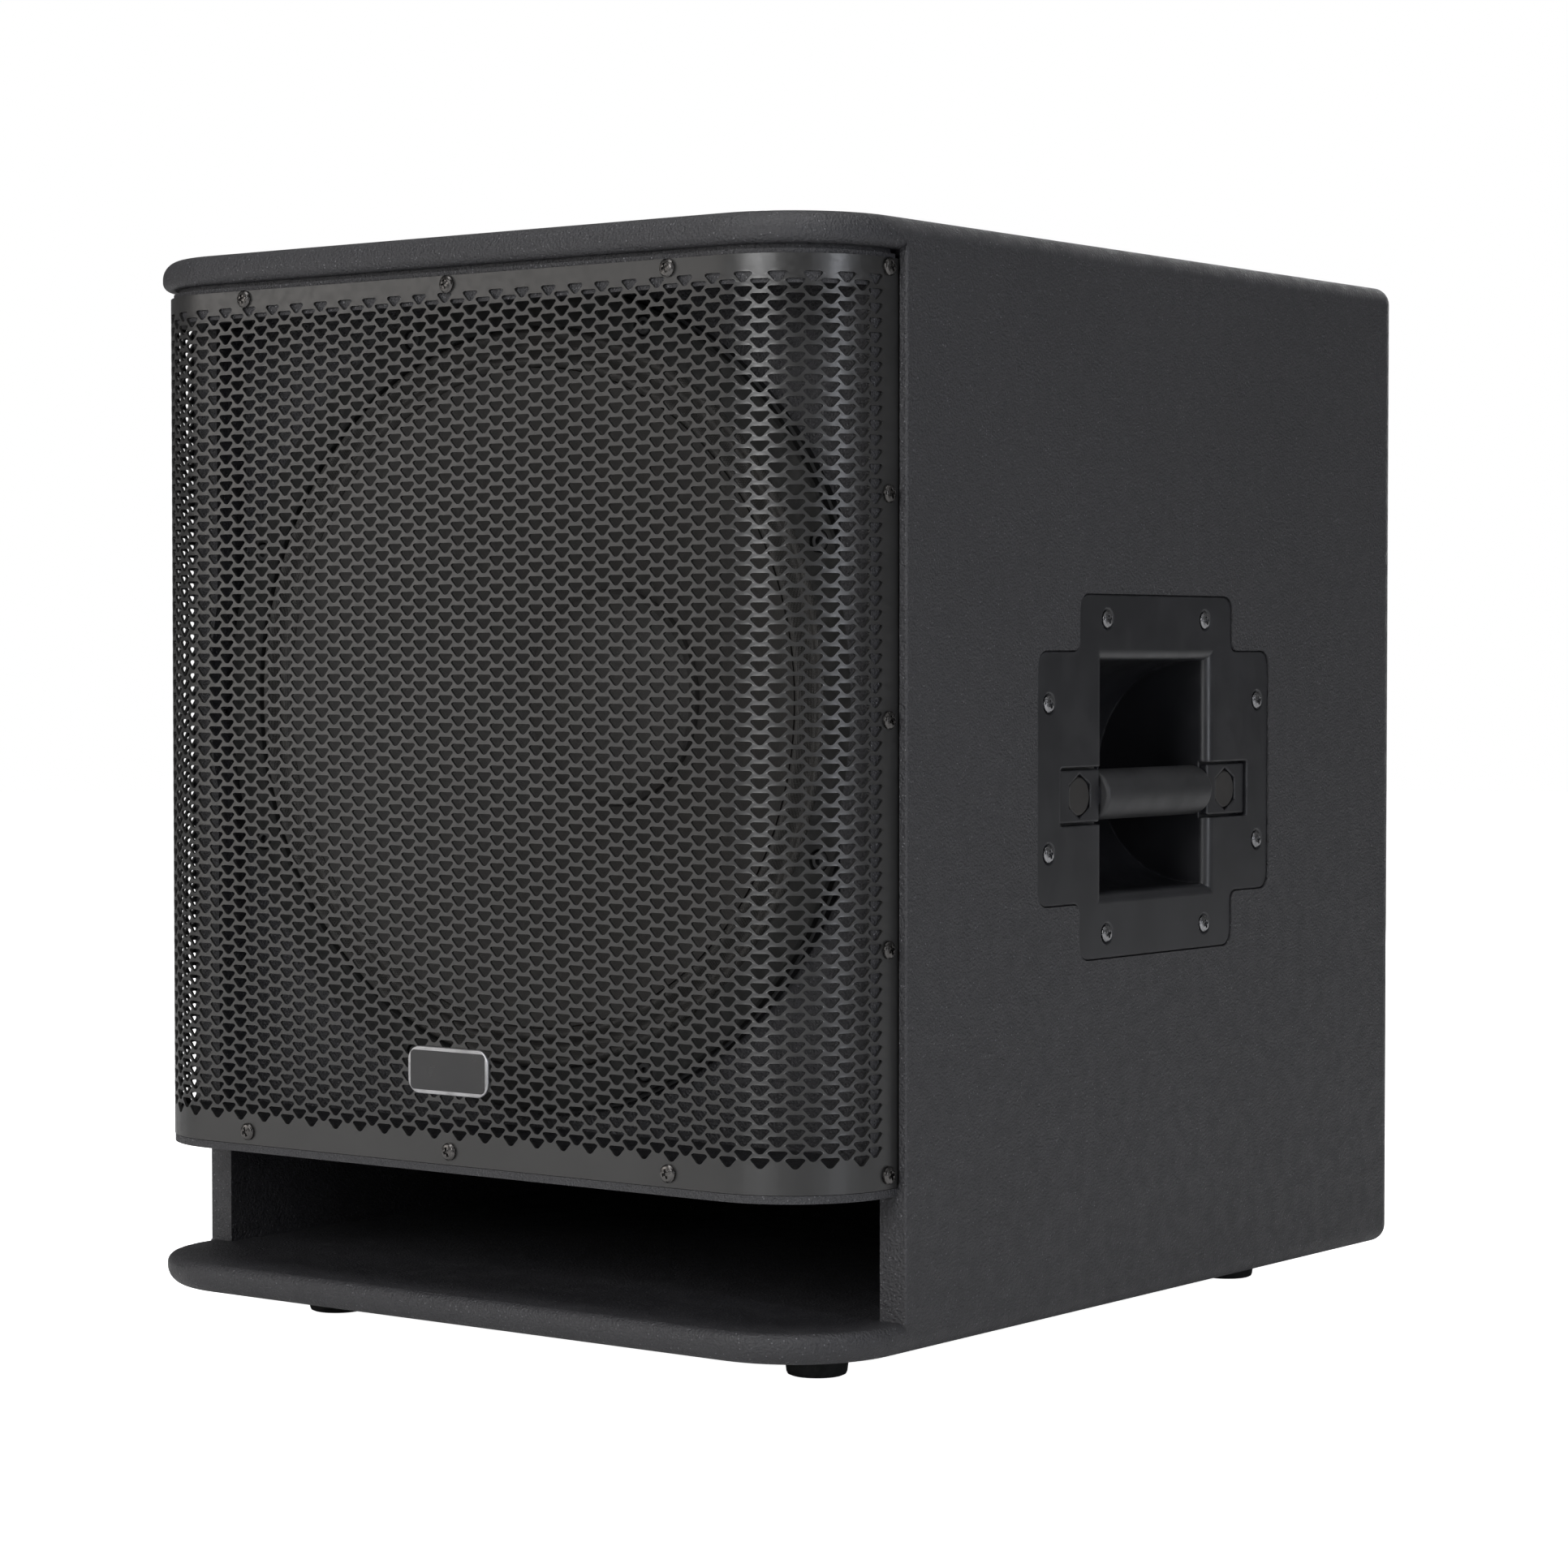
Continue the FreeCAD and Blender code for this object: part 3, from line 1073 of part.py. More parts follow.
def make_rocker():
    """Rocker cap on its axle, tipped to the off side at rest."""
    half = 10.1
    reach = 7.0
    low_z = POWER_Z - 7.9
    corners = [(-half, 0.0), (half, 0.0), (half, reach), (0.0, reach - 2.2), (-half, reach)]
    place = lambda point: Vector(ROCKER_X + point.x, ROCKER_PIVOT_Y + point.y - 1.5, low_z)
    cap = Part.Face(rounded_loop(corners, [1.0, 1.0, 0.8, 0.0, 0.8], place)).extrude(Z_AXIS * 15.8)
    cap = cap.fuse(cylinder(1.5, (ROCKER_X, ROCKER_PIVOT_Y, POWER_Z - 9.7), Z_AXIS, 19.4))
    cap.rotate(Vector(ROCKER_X, ROCKER_PIVOT_Y, POWER_Z), Z_AXIS, ROCKER_TILT)
    return cap


# ---------------------------------------------------------------- build
def main():
    body = envelope()
    screw_seats = grille_screw_places()
    side = make_side_board(body)
    side = make_screw_holes(side, handle_screw_places(), 2.2, 15.0)
    cup = make_handle_cup()
    bar = make_handle_bar()
    sleeve = make_grip_sleeve()
    bolts = make_handle_bolts()
    handle_screws = make_handle_screws()
    rear_holes = amp_screw_places()

    write("top_board", make_top_board(body))
    write("bottom_board", make_bottom_board(body))
    write("right_side_board", side)
    write("left_side_board", mirrored(side))
    write("rear_board", make_screw_holes(make_rear_board(), rear_holes, 2.0, 17.0))
    write("front_baffle", make_baffle())
    write("port_shelf", make_screw_holes(make_shelf(), screw_seats, 1.6, 16.0))
    write("grille_top_rail", make_screw_holes(make_top_rail(), screw_seats, 1.6, 16.0))
    write("grille_side_battens", make_screw_holes(make_side_battens(), screw_seats, 1.6, 16.0))
    write("window_brace", make_brace())

    write("grille", make_screw_holes(make_grille(), screw_seats, 2.6, 6.0))
    write("grille_screws", make_grille_screws())
    write("badge_plate", make_badge())

    write("right_handle_cup", cup)
    write("left_handle_cup", mirrored(cup))
    write("right_handle_bar", bar)
    write("left_handle_bar", mirrored(bar))
    write("right_grip_sleeve", sleeve)
    write("left_grip_sleeve", mirrored(sleeve))
    write("handle_bolts", group([bolts, mirrored(bolts)]))
    write("handle_screws", group([handle_screws, mirrored(handle_screws)]))

    write("rubber_feet", make_feet())
    write("foot_screws", make_foot_screws())
    write("pole_socket", make_pole_socket())
    write("pole_socket_screws", make_pole_screws())

    write("driver_basket", make_basket())
    write("driver_gasket", make_gasket())
    write("driver_bolts", make_driver_bolts())
    write("cone_surround", make_surround())
    write("speaker_cone", make_cone())
    write("dust_cap", make_dust_cap())
    write("coil_former", make_coil_former())
    write("voice_coil", make_voice_coil())
    write("spider", make_spider())
    write("magnet_front_plate", make_front_plate())
    write("magnet_ring", make_magnet())
    write("pole_yoke", make_yoke())
    write("driver_terminals", make_driver_terminals())
    write("speaker_lead", make_speaker_lead())

    write("amplifier_plate", make_amp_plate())
    write("amplifier_screws", make_amp_screws())
    write("heat_sink", make_heat_sink())
    write("amplifier_case", make_amp_case())
    write("circuit_board", make_circuit_board())
    write("power_transformer", make_transformer())
    write("potentiometers", make_potentiometers())
    write("level_knob", make_knob(LEVEL_X))
    write("crossover_knob", make_knob(CROSSOVER_X))
    write("button_switches", make_button_switches())
    write("polarity_button", make_push_button(POLARITY_X))
    write("ground_lift_button", make_push_button(GROUND_X))
    write("status_lights", make_status_lights())
    write("input_sockets", group([make_input_socket(x) for x in INPUT_X]))
    write("output_sockets", group([make_output_socket(x) for x in OUTPUT_X]))
    write("input_latch_a", make_latch(INPUT_X[0]))
    write("input_latch_b", make_latch(INPUT_X[1]))
    write("mains_inlet", make_mains_inlet())
    write("fuse_drawer", make_fuse_drawer())
    write("rocker_frame", make_rocker_frame())
    write("power_rocker", make_rocker())


main()
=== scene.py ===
"""Looks of the powered bass cabinet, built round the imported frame. Metres, row frame."""
import math

import bpy
import numpy as np
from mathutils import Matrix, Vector


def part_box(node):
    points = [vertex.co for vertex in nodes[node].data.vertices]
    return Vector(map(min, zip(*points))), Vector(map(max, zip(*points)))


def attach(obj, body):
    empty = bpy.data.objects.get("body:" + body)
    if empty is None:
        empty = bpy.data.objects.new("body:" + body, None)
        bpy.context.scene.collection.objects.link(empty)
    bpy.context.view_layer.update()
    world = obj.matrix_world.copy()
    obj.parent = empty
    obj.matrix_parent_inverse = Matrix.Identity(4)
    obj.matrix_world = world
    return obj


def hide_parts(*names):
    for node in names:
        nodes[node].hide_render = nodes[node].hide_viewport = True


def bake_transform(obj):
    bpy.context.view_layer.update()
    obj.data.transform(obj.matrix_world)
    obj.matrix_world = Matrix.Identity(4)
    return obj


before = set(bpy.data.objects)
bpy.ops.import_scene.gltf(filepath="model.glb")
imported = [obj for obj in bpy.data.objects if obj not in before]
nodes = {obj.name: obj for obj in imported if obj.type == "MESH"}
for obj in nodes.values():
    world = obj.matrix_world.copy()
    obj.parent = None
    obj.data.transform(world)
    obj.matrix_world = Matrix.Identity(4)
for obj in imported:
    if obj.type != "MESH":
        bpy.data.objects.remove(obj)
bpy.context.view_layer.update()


# ---------------------------------------------------------------- materials
class Finish:
    """A node material built step by step: colour, roughness and bump from procedural textures."""

    def __init__(self, name, colour, roughness, metallic=0.0, specular=0.5, coat=0.0, coat_roughness=0.2):
        self.material = bpy.data.materials.new(name)
        self.material.use_nodes = True
        self.tree = self.material.node_tree
        self.tree.nodes.clear()
        output = self.add("ShaderNodeOutputMaterial")
        self.surface = self.add("ShaderNodeBsdfPrincipled")
        self.tree.links.new(self.surface.outputs["BSDF"], output.inputs["Surface"])
        self.set("Metallic", metallic)
        self.set("Specular IOR Level", specular)
        self.set("Coat Weight", coat)
        self.set("Coat Roughness", coat_roughness)
        self.place = self.add("ShaderNodeTexCoord").outputs["Object"]
        self.colour = self.constant(colour)
        self.roughness = roughness
        self.normal = None

    def add(self, kind, **settings):
        node = self.tree.nodes.new(kind)
        for key, value in settings.items():
            setattr(node, key, value)
        return node

    def set(self, socket, value):
        self.surface.inputs[socket].default_value = value

    def feed(self, socket, value):
        if isinstance(value, bpy.types.NodeSocket):
            self.tree.links.new(value, socket)
        else:
            socket.default_value = value

    def constant(self, colour):
        return (*colour, 1.0)

    def noise(self, scale, detail=3.0, roughness=0.55, stretch=None):
        node = self.add("ShaderNodeTexNoise")
        node.inputs["Scale"].default_value = scale
        node.inputs["Detail"].default_value = detail
        node.inputs["Roughness"].default_value = roughness
        self.tree.links.new(self.stretched(stretch), node.inputs["Vector"])
        return node.outputs["Fac"]

    def stretched(self, stretch):
        if stretch is None:
            return self.place
        node = self.add("ShaderNodeMapping")
        node.inputs["Scale"].default_value = stretch
        self.tree.links.new(self.place, node.inputs["Vector"])
        return node.outputs["Vector"]

    def cells(self, scale, feature="F1"):
        node = self.add("ShaderNodeTexVoronoi", feature=feature)
        node.inputs["Scale"].default_value = scale
        self.tree.links.new(self.place, node.inputs["Vector"])
        return node.outputs["Distance"], node.outputs.get("Color")

    def remap(self, value, low, high, out_low=0.0, out_high=1.0):
        node = self.add("ShaderNodeMapRange")
        node.interpolation_type = "SMOOTHSTEP"
        self.feed(node.inputs["Value"], value)
        node.inputs["From Min"].default_value = low
        node.inputs["From Max"].default_value = high
        node.inputs["To Min"].default_value = out_low
        node.inputs["To Max"].default_value = out_high
        return node.outputs["Result"]

    def combine(self, operation, first, second):
        node = self.add("ShaderNodeMath", operation=operation)
        self.feed(node.inputs[0], first)
        self.feed(node.inputs[1], second)
        return node.outputs["Value"]

    def tint(self, mask, colour):
        """Blends the colour so far towards another where the mask is high."""
        node = self.add("ShaderNodeMix", data_type="RGBA")
        self.feed(node.inputs[0], mask)
        self.feed(node.inputs[6], self.colour)
        self.feed(node.inputs[7], self.constant(colour))
        self.colour = node.outputs[2]
        return self

    def roughen(self, mask, value):
        node = self.add("ShaderNodeMix", data_type="FLOAT")
        self.feed(node.inputs[0], mask)
        self.feed(node.inputs[2], self.roughness)
        self.feed(node.inputs[3], value)
        self.roughness = node.outputs[0]
        return self

    def bump(self, height, distance, strength=1.0):
        node = self.add("ShaderNodeBump")
        node.inputs["Strength"].default_value = strength
        node.inputs["Distance"].default_value = distance
        self.feed(node.inputs["Height"], height)
        if self.normal is not None:
            self.tree.links.new(self.normal, node.inputs["Normal"])
        self.normal = node.outputs["Normal"]
        return self

    def soften(self, radius):
        """Rounds hard edges in the shading by a small radius."""
        node = self.add("ShaderNodeBevel", samples=4)
        node.inputs["Radius"].default_value = radius
        self.normal = node.outputs["Normal"]
        return self

    def edges(self, radius):
        """Mask that is high along the edges of the shape."""
        bevel = self.add("ShaderNodeBevel", samples=4)
        bevel.inputs["Radius"].default_value = radius
        geometry = self.add("ShaderNodeNewGeometry")
        dot = self.add("ShaderNodeVectorMath", operation="DOT_PRODUCT")
        self.tree.links.new(bevel.outputs["Normal"], dot.inputs[0])
        self.tree.links.new(geometry.outputs["Normal"], dot.inputs[1])
        return self.remap(dot.outputs["Value"], 0.99, 0.82)

    def done(self):
        self.feed(self.surface.inputs["Base Color"], self.colour)
        self.feed(self.surface.inputs["Roughness"], self.roughness)
        if self.normal is not None:
            self.tree.links.new(self.normal, self.surface.inputs["Normal"])
        return self.material


def textured_paint():
    """Tough sprayed paint: fine pebbles and pale flecks."""
    f = Finish("textured_paint", (0.019, 0.0187, 0.0213), 0.46, specular=0.5)
    f.tint(f.remap(f.noise(9.0, 4.0), 0.3, 0.75), (0.022, 0.0216, 0.0244))
    pebble, _ = f.cells(620.0, "SMOOTH_F1")
    fleck, shade = f.cells(520.0)
    keep = f.remap(shade, 0.6, 0.72)
    mask = f.combine("MULTIPLY", f.remap(fleck, 0.24, 0.1), keep)
    f.tint(mask, (0.14, 0.14, 0.15))
    f.roughen(f.remap(f.noise(90.0, 3.0), 0.35, 0.7), 0.58)
    f.roughen(mask, 0.3)
    f.bump(f.noise(420.0, 2.0), 0.0006, 0.4)
    f.bump(f.noise(900.0, 2.5, 0.65), 0.0009, 1.0)
    f.bump(pebble, 0.0007, 0.7)
    return f.done()


def powder_coat(name, colour, roughness, specular=0.5, grain=0.25):
    f = Finish(name, colour, roughness, specular=specular)
    f.tint(f.remap(f.noise(14.0, 3.0), 0.35, 0.7), tuple(c * 1.25 for c in colour))
    f.roughen(f.remap(f.noise(220.0, 3.0), 0.35, 0.7), roughness + 0.08)
    f.bump(f.noise(2600.0, 2.0), 0.0001, grain)
    return f.done()


def moulded(name, colour, roughness, rounding=0.0006, specular=0.5, grain=0.2):
    """Injection-moulded plastic with a fine spark texture, soft edges and light rubbing."""
    f = Finish(name, colour, roughness, specular=specular)
    f.tint(f.remap(f.noise(30.0, 4.0), 0.4, 0.75), tuple(c * 1.3 + 0.001 for c in colour))
    f.roughen(f.remap(f.noise(45.0, 4.0), 0.4, 0.7), min(1.0, roughness + 0.12))
    rubbed = f.combine("MULTIPLY", f.edges(rounding * 2), f.remap(f.noise(160.0, 3.0), 0.4, 0.65))
    f.tint(rubbed, tuple(c * 2.2 + 0.01 for c in colour))
    f.soften(rounding)
    f.bump(f.noise(1900.0, 2.0), 0.00012, grain)
    return f.done()


def metal(name, colour, roughness, stretch=None, rounding=0.0003, grain=0.25, specular=0.5):
    """Plated or machined metal with fine scratches, stretched along the tool marks if asked."""
    f = Finish(name, colour, roughness, metallic=1.0, specular=specular)
    f.tint(f.remap(f.noise(90.0, 4.0), 0.35, 0.75), tuple(c * 0.7 for c in colour))
    f.roughen(f.remap(f.noise(700.0, 3.0, 0.6, stretch), 0.35, 0.7), min(1.0, roughness + 0.2))
    f.soften(rounding)
    f.bump(f.noise(1800.0, 3.0, 0.6, stretch), 0.00008, grain)
    return f.done()


def rubber(name, colour, roughness):
    f = Finish(name, colour, roughness, specular=0.35)
    f.tint(f.remap(f.noise(120.0, 5.0), 0.45, 0.75), tuple(c * 1.7 + 0.004 for c in colour))
    f.roughen(f.remap(f.noise(80.0, 4.0), 0.35, 0.7), min(1.0, roughness + 0.15))
    f.soften(0.0008)
    f.bump(f.noise(1300.0, 3.0), 0.00015, 0.4)
    return f.done()


def pulp():
    """Pressed paper cone: soft fibres and slight mottling."""
    f = Finish("cone_pulp", (0.03, 0.0287, 0.0277), 0.66, specular=0.3)
    f.tint(f.remap(f.noise(40.0, 5.0), 0.35, 0.7), (0.033, 0.031, 0.0298))
    f.tint(f.remap(f.noise(900.0, 4.0, 0.7), 0.55, 0.75), (0.075, 0.07, 0.066))
    f.bump(f.noise(420.0, 5.0, 0.7), 0.0005, 0.5)
    return f.done()


def cloth(name, colour):
    """Doped woven cloth: a fine weave under a skin of varnish."""
    f = Finish(name, colour, 0.55, specular=0.4)
    warp = f.add("ShaderNodeTexWave", wave_type="BANDS", bands_direction="X")
    weft = f.add("ShaderNodeTexWave", wave_type="BANDS", bands_direction="Z")
    for wave in (warp, weft):
        wave.inputs["Scale"].default_value = 320.0
        wave.inputs["Distortion"].default_value = 0.6
        f.tree.links.new(f.place, wave.inputs["Vector"])
    weave = f.combine("MULTIPLY", warp.outputs["Fac"], weft.outputs["Fac"])
    f.tint(weave, tuple(c * 1.9 for c in colour))
    f.roughen(f.remap(f.noise(70.0, 3.0), 0.35, 0.7), 0.7)
    f.bump(weave, 0.0003, 0.6)
    return f.done()


def plywood():
    """Birch plywood left bare inside the box."""
    f = Finish("plywood", (0.32, 0.2, 0.11), 0.6, specular=0.35)
    grain = f.noise(28.0, 5.0, 0.65, (1.0, 1.0, 14.0))
    f.tint(f.remap(grain, 0.35, 0.7), (0.46, 0.32, 0.19))
    f.roughen(f.remap(f.noise(300.0, 3.0), 0.35, 0.7), 0.75)
    f.bump(grain, 0.0004, 0.4)
    return f.done()


def wound(name, colour, spacing):
    """Turns of wire or film laid side by side."""
    f = Finish(name, colour, 0.35, metallic=0.6)
    wave = f.add("ShaderNodeTexWave", wave_type="BANDS", bands_direction="Y")
    wave.inputs["Scale"].default_value = spacing
    wave.inputs["Distortion"].default_value = 0.3
    f.tree.links.new(f.place, wave.inputs["Vector"])
    f.tint(f.remap(wave.outputs["Fac"], 0.2, 0.9), tuple(c * 0.55 for c in colour))
    f.bump(wave.outputs["Fac"], 0.0003, 0.5)
    return f.done()


def circuit():
    """Solder mask over copper tracks."""
    f = Finish("solder_mask", (0.01, 0.07, 0.03), 0.35, coat=0.3)
    distance, _ = f.cells(160.0, "DISTANCE_TO_EDGE")
    f.tint(f.remap(distance, 0.06, 0.02), (0.03, 0.16, 0.07))
    f.roughen(f.remap(f.noise(120.0, 3.0), 0.35, 0.7), 0.5)
    f.bump(f.remap(distance, 0.06, 0.02), 0.0001, 0.5)
    return f.done()


def lamp(name, colour):
    f = Finish(name, colour, 0.18, specular=0.6, coat=0.5)
    f.tint(f.remap(f.noise(500.0, 2.0), 0.4, 0.7), tuple(c * 0.75 for c in colour))
    f.bump(f.noise(900.0, 2.0), 0.00005, 0.2)
    return f.done()


PAINT = textured_paint()
GRILLE_COAT = powder_coat("grille_powder_coat", (0.015, 0.0147, 0.0145), 0.32, specular=0.55)
PANEL_COAT = powder_coat("panel_powder_coat", (0.022, 0.022, 0.0235), 0.42, grain=0.6)
CAST_COAT = powder_coat("cast_powder_coat", (0.018, 0.018, 0.019), 0.6, specular=0.4)
HANDLE = moulded("handle_plastic", (0.0112, 0.0114, 0.0132), 0.29, rounding=0.0014, specular=0.5, grain=0.1)
GRIP = moulded("grip_plastic", (0.016, 0.016, 0.0172), 0.46, rounding=0.0006, specular=0.45)
PLASTIC = moulded("control_plastic", (0.012, 0.012, 0.0125), 0.4, rounding=0.0004)
BUTTON = moulded("button_plastic", (0.05, 0.05, 0.052), 0.42, rounding=0.0004)
SCREW = metal("black_nickel", (0.12, 0.115, 0.112), 0.2)
HANDLE_SCREW = metal("black_zinc", (0.3, 0.3, 0.31), 0.16)
BOLT_CAP = moulded("bolt_cap", (0.014, 0.0125, 0.0115), 0.5, rounding=0.0005)
ZINC = metal("zinc_plate", (0.62, 0.61, 0.57), 0.36)
NICKEL = metal("nickel_plate", (0.68, 0.66, 0.62), 0.2)
BADGE = metal("badge_aluminium", (0.42, 0.42, 0.43), 0.3, (1.0, 1.0, 40.0), 0.0006, 0.5)
ENAMEL = moulded("badge_enamel", (0.012, 0.012, 0.013), 0.2, rounding=0.0003, grain=0.05)
FERRITE = powder_coat("ferrite", (0.05, 0.05, 0.052), 0.6)
FOOT = rubber("foot_rubber", (0.012, 0.012, 0.012), 0.72)
GASKET = rubber("gasket_foam", (0.014, 0.0138, 0.0135), 0.82)
LEAD = rubber("lead_jacket", (0.018, 0.018, 0.018), 0.5)
PULP = pulp()
CLOTH = cloth("surround_cloth", (0.03, 0.0285, 0.027))
RESIN_CLOTH = cloth("spider_cloth", (0.3, 0.2, 0.07))
PLY = plywood()
COPPER = wound("copper_wire", (0.72, 0.34, 0.16), 900.0)
FILM = wound("transformer_film", (0.5, 0.4, 0.1), 160.0)
MASK = circuit()
GREEN = lamp("lamp_lens", (0.05, 0.4, 0.1))
PRINT = powder_coat("panel_print", (0.55, 0.55, 0.55), 0.55)

looks = {
    "top_board": PAINT, "bottom_board": PAINT, "right_side_board": PAINT, "left_side_board": PAINT,
    "rear_board": PAINT, "port_shelf": PAINT, "grille_top_rail": PAINT, "grille_side_battens": PAINT,
    "front_baffle": PAINT, "window_brace": PLY, "grille_screws": SCREW, "badge_plate": BADGE,
    "right_handle_cup": HANDLE, "left_handle_cup": HANDLE, "right_handle_bar": HANDLE,
    "left_handle_bar": HANDLE, "right_grip_sleeve": GRIP, "left_grip_sleeve": GRIP,
    "handle_bolts": BOLT_CAP, "handle_screws": HANDLE_SCREW, "rubber_feet": FOOT, "foot_screws": ZINC,
    "pole_socket": CAST_COAT, "pole_socket_screws": HANDLE_SCREW, "driver_basket": CAST_COAT,
    "driver_gasket": GASKET, "driver_bolts": CAST_COAT, "speaker_cone": PULP, "dust_cap": PULP,
    "coil_former": RESIN_CLOTH, "voice_coil": COPPER, "magnet_front_plate": ZINC, "magnet_ring": FERRITE,
    "pole_yoke": ZINC, "driver_terminals": PLASTIC, "speaker_lead": LEAD, "amplifier_plate": PANEL_COAT,
    "amplifier_screws": HANDLE_SCREW, "heat_sink": CAST_COAT, "amplifier_case": ZINC,
    "circuit_board": MASK, "power_transformer": FILM, "potentiometers": ZINC, "level_knob": PLASTIC,
    "crossover_knob": PLASTIC, "button_switches": PLASTIC, "polarity_button": BUTTON,
    "ground_lift_button": BUTTON, "status_lights": GREEN, "input_sockets": PLASTIC,
    "output_sockets": PLASTIC, "input_latch_a": NICKEL, "input_latch_b": NICKEL, "mains_inlet": PLASTIC,
    "fuse_drawer": PLASTIC, "rocker_frame": PLASTIC, "power_rocker": PLASTIC,
}
for name, look in looks.items():
    mesh = nodes[name].data
    mesh.materials.clear()
    mesh.materials.append(look)


def add_piece(name, points, faces, look, body, smooth_angle=35.0):
    mesh = bpy.data.meshes.new(name)
    mesh.from_pydata([tuple(p) for p in points], [], faces)
    mesh.validate()
    mesh.materials.append(look)
    mesh.polygons.foreach_set("use_smooth", [True] * len(mesh.polygons))
    mesh.set_sharp_from_angle(angle=math.radians(smooth_angle))
    mesh.update()
    piece = bpy.data.objects.new(name, mesh)
    bpy.context.scene.collection.objects.link(piece)
    if body:
        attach(piece, body)
    return piece


# ---------------------------------------------------------------- perforated grille
SHEET = 0.0015
GRILLE_LOW, GRILLE_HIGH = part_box("grille")
GRILLE_X = GRILLE_HIGH.x
GRILLE_FRONT = GRILLE_LOW.y
GRILLE_RADIUS = 0.062
FLAT_HALF = GRILLE_X - GRILLE_RADIUS
ARC = GRILLE_RADIUS * math.pi / 2
RETURN = GRILLE_HIGH.y - (GRILLE_FRONT + GRILLE_RADIUS)
SHEET_HALF = FLAT_HALF + ARC + RETURN

COLUMN_PITCH = 0.0184
ROW_PITCH = 0.0075
COLUMNS = 30
ROWS = 61
MIDDLE_COLUMN = 0.00714
FIRST_ROW_RISE = 0.0164
HOLE = [
    (0.0039, 0.00278), (-0.0039, 0.00278), (-0.0051, 0.00222), (-0.0051, 0.00132), (-0.0016, -0.00236),
    (-0.0006, -0.00278), (0.0006, -0.00278), (0.0016, -0.00236), (0.0051, 0.00132), (0.0051, 0.00222),
]
CELL_P = 0.0014
CELL_Q = 0.0046
CELL_R = COLUMN_PITCH / 2 - CELL_P
CELL_T = CELL_Q - ROW_PITCH / 2
CELL = [
    (CELL_P, CELL_Q), (-CELL_P, CELL_Q), (-CELL_R, CELL_T),
    (-CELL_P, CELL_Q - ROW_PITCH), (CELL_P, CELL_Q - ROW_PITCH), (CELL_R, CELL_T),
]
# which cell corner each stretch of the hole's rim is joined to, going round
RIM_TO_CELL = [0, 1, 2, 2, 3, 3, 4, 4, 5, 0]


def sheet_point(along, depth):
    """Point of the bent sheet at a distance along it from the middle; depth is measured inwards."""
    side = 1.0 if along >= 0 else -1.0
    run = abs(along)
    if run <= FLAT_HALF:
        return side * run, GRILLE_FRONT + depth
    turn = min((run - FLAT_HALF) / GRILLE_RADIUS, math.pi / 2)
    radius = GRILLE_RADIUS - depth
    beyond = max(0.0, run - FLAT_HALF - ARC)
    x = FLAT_HALF + radius * math.sin(turn)
    y = GRILLE_FRONT + GRILLE_RADIUS - radius * math.cos(turn) + beyond
    return side * x, y


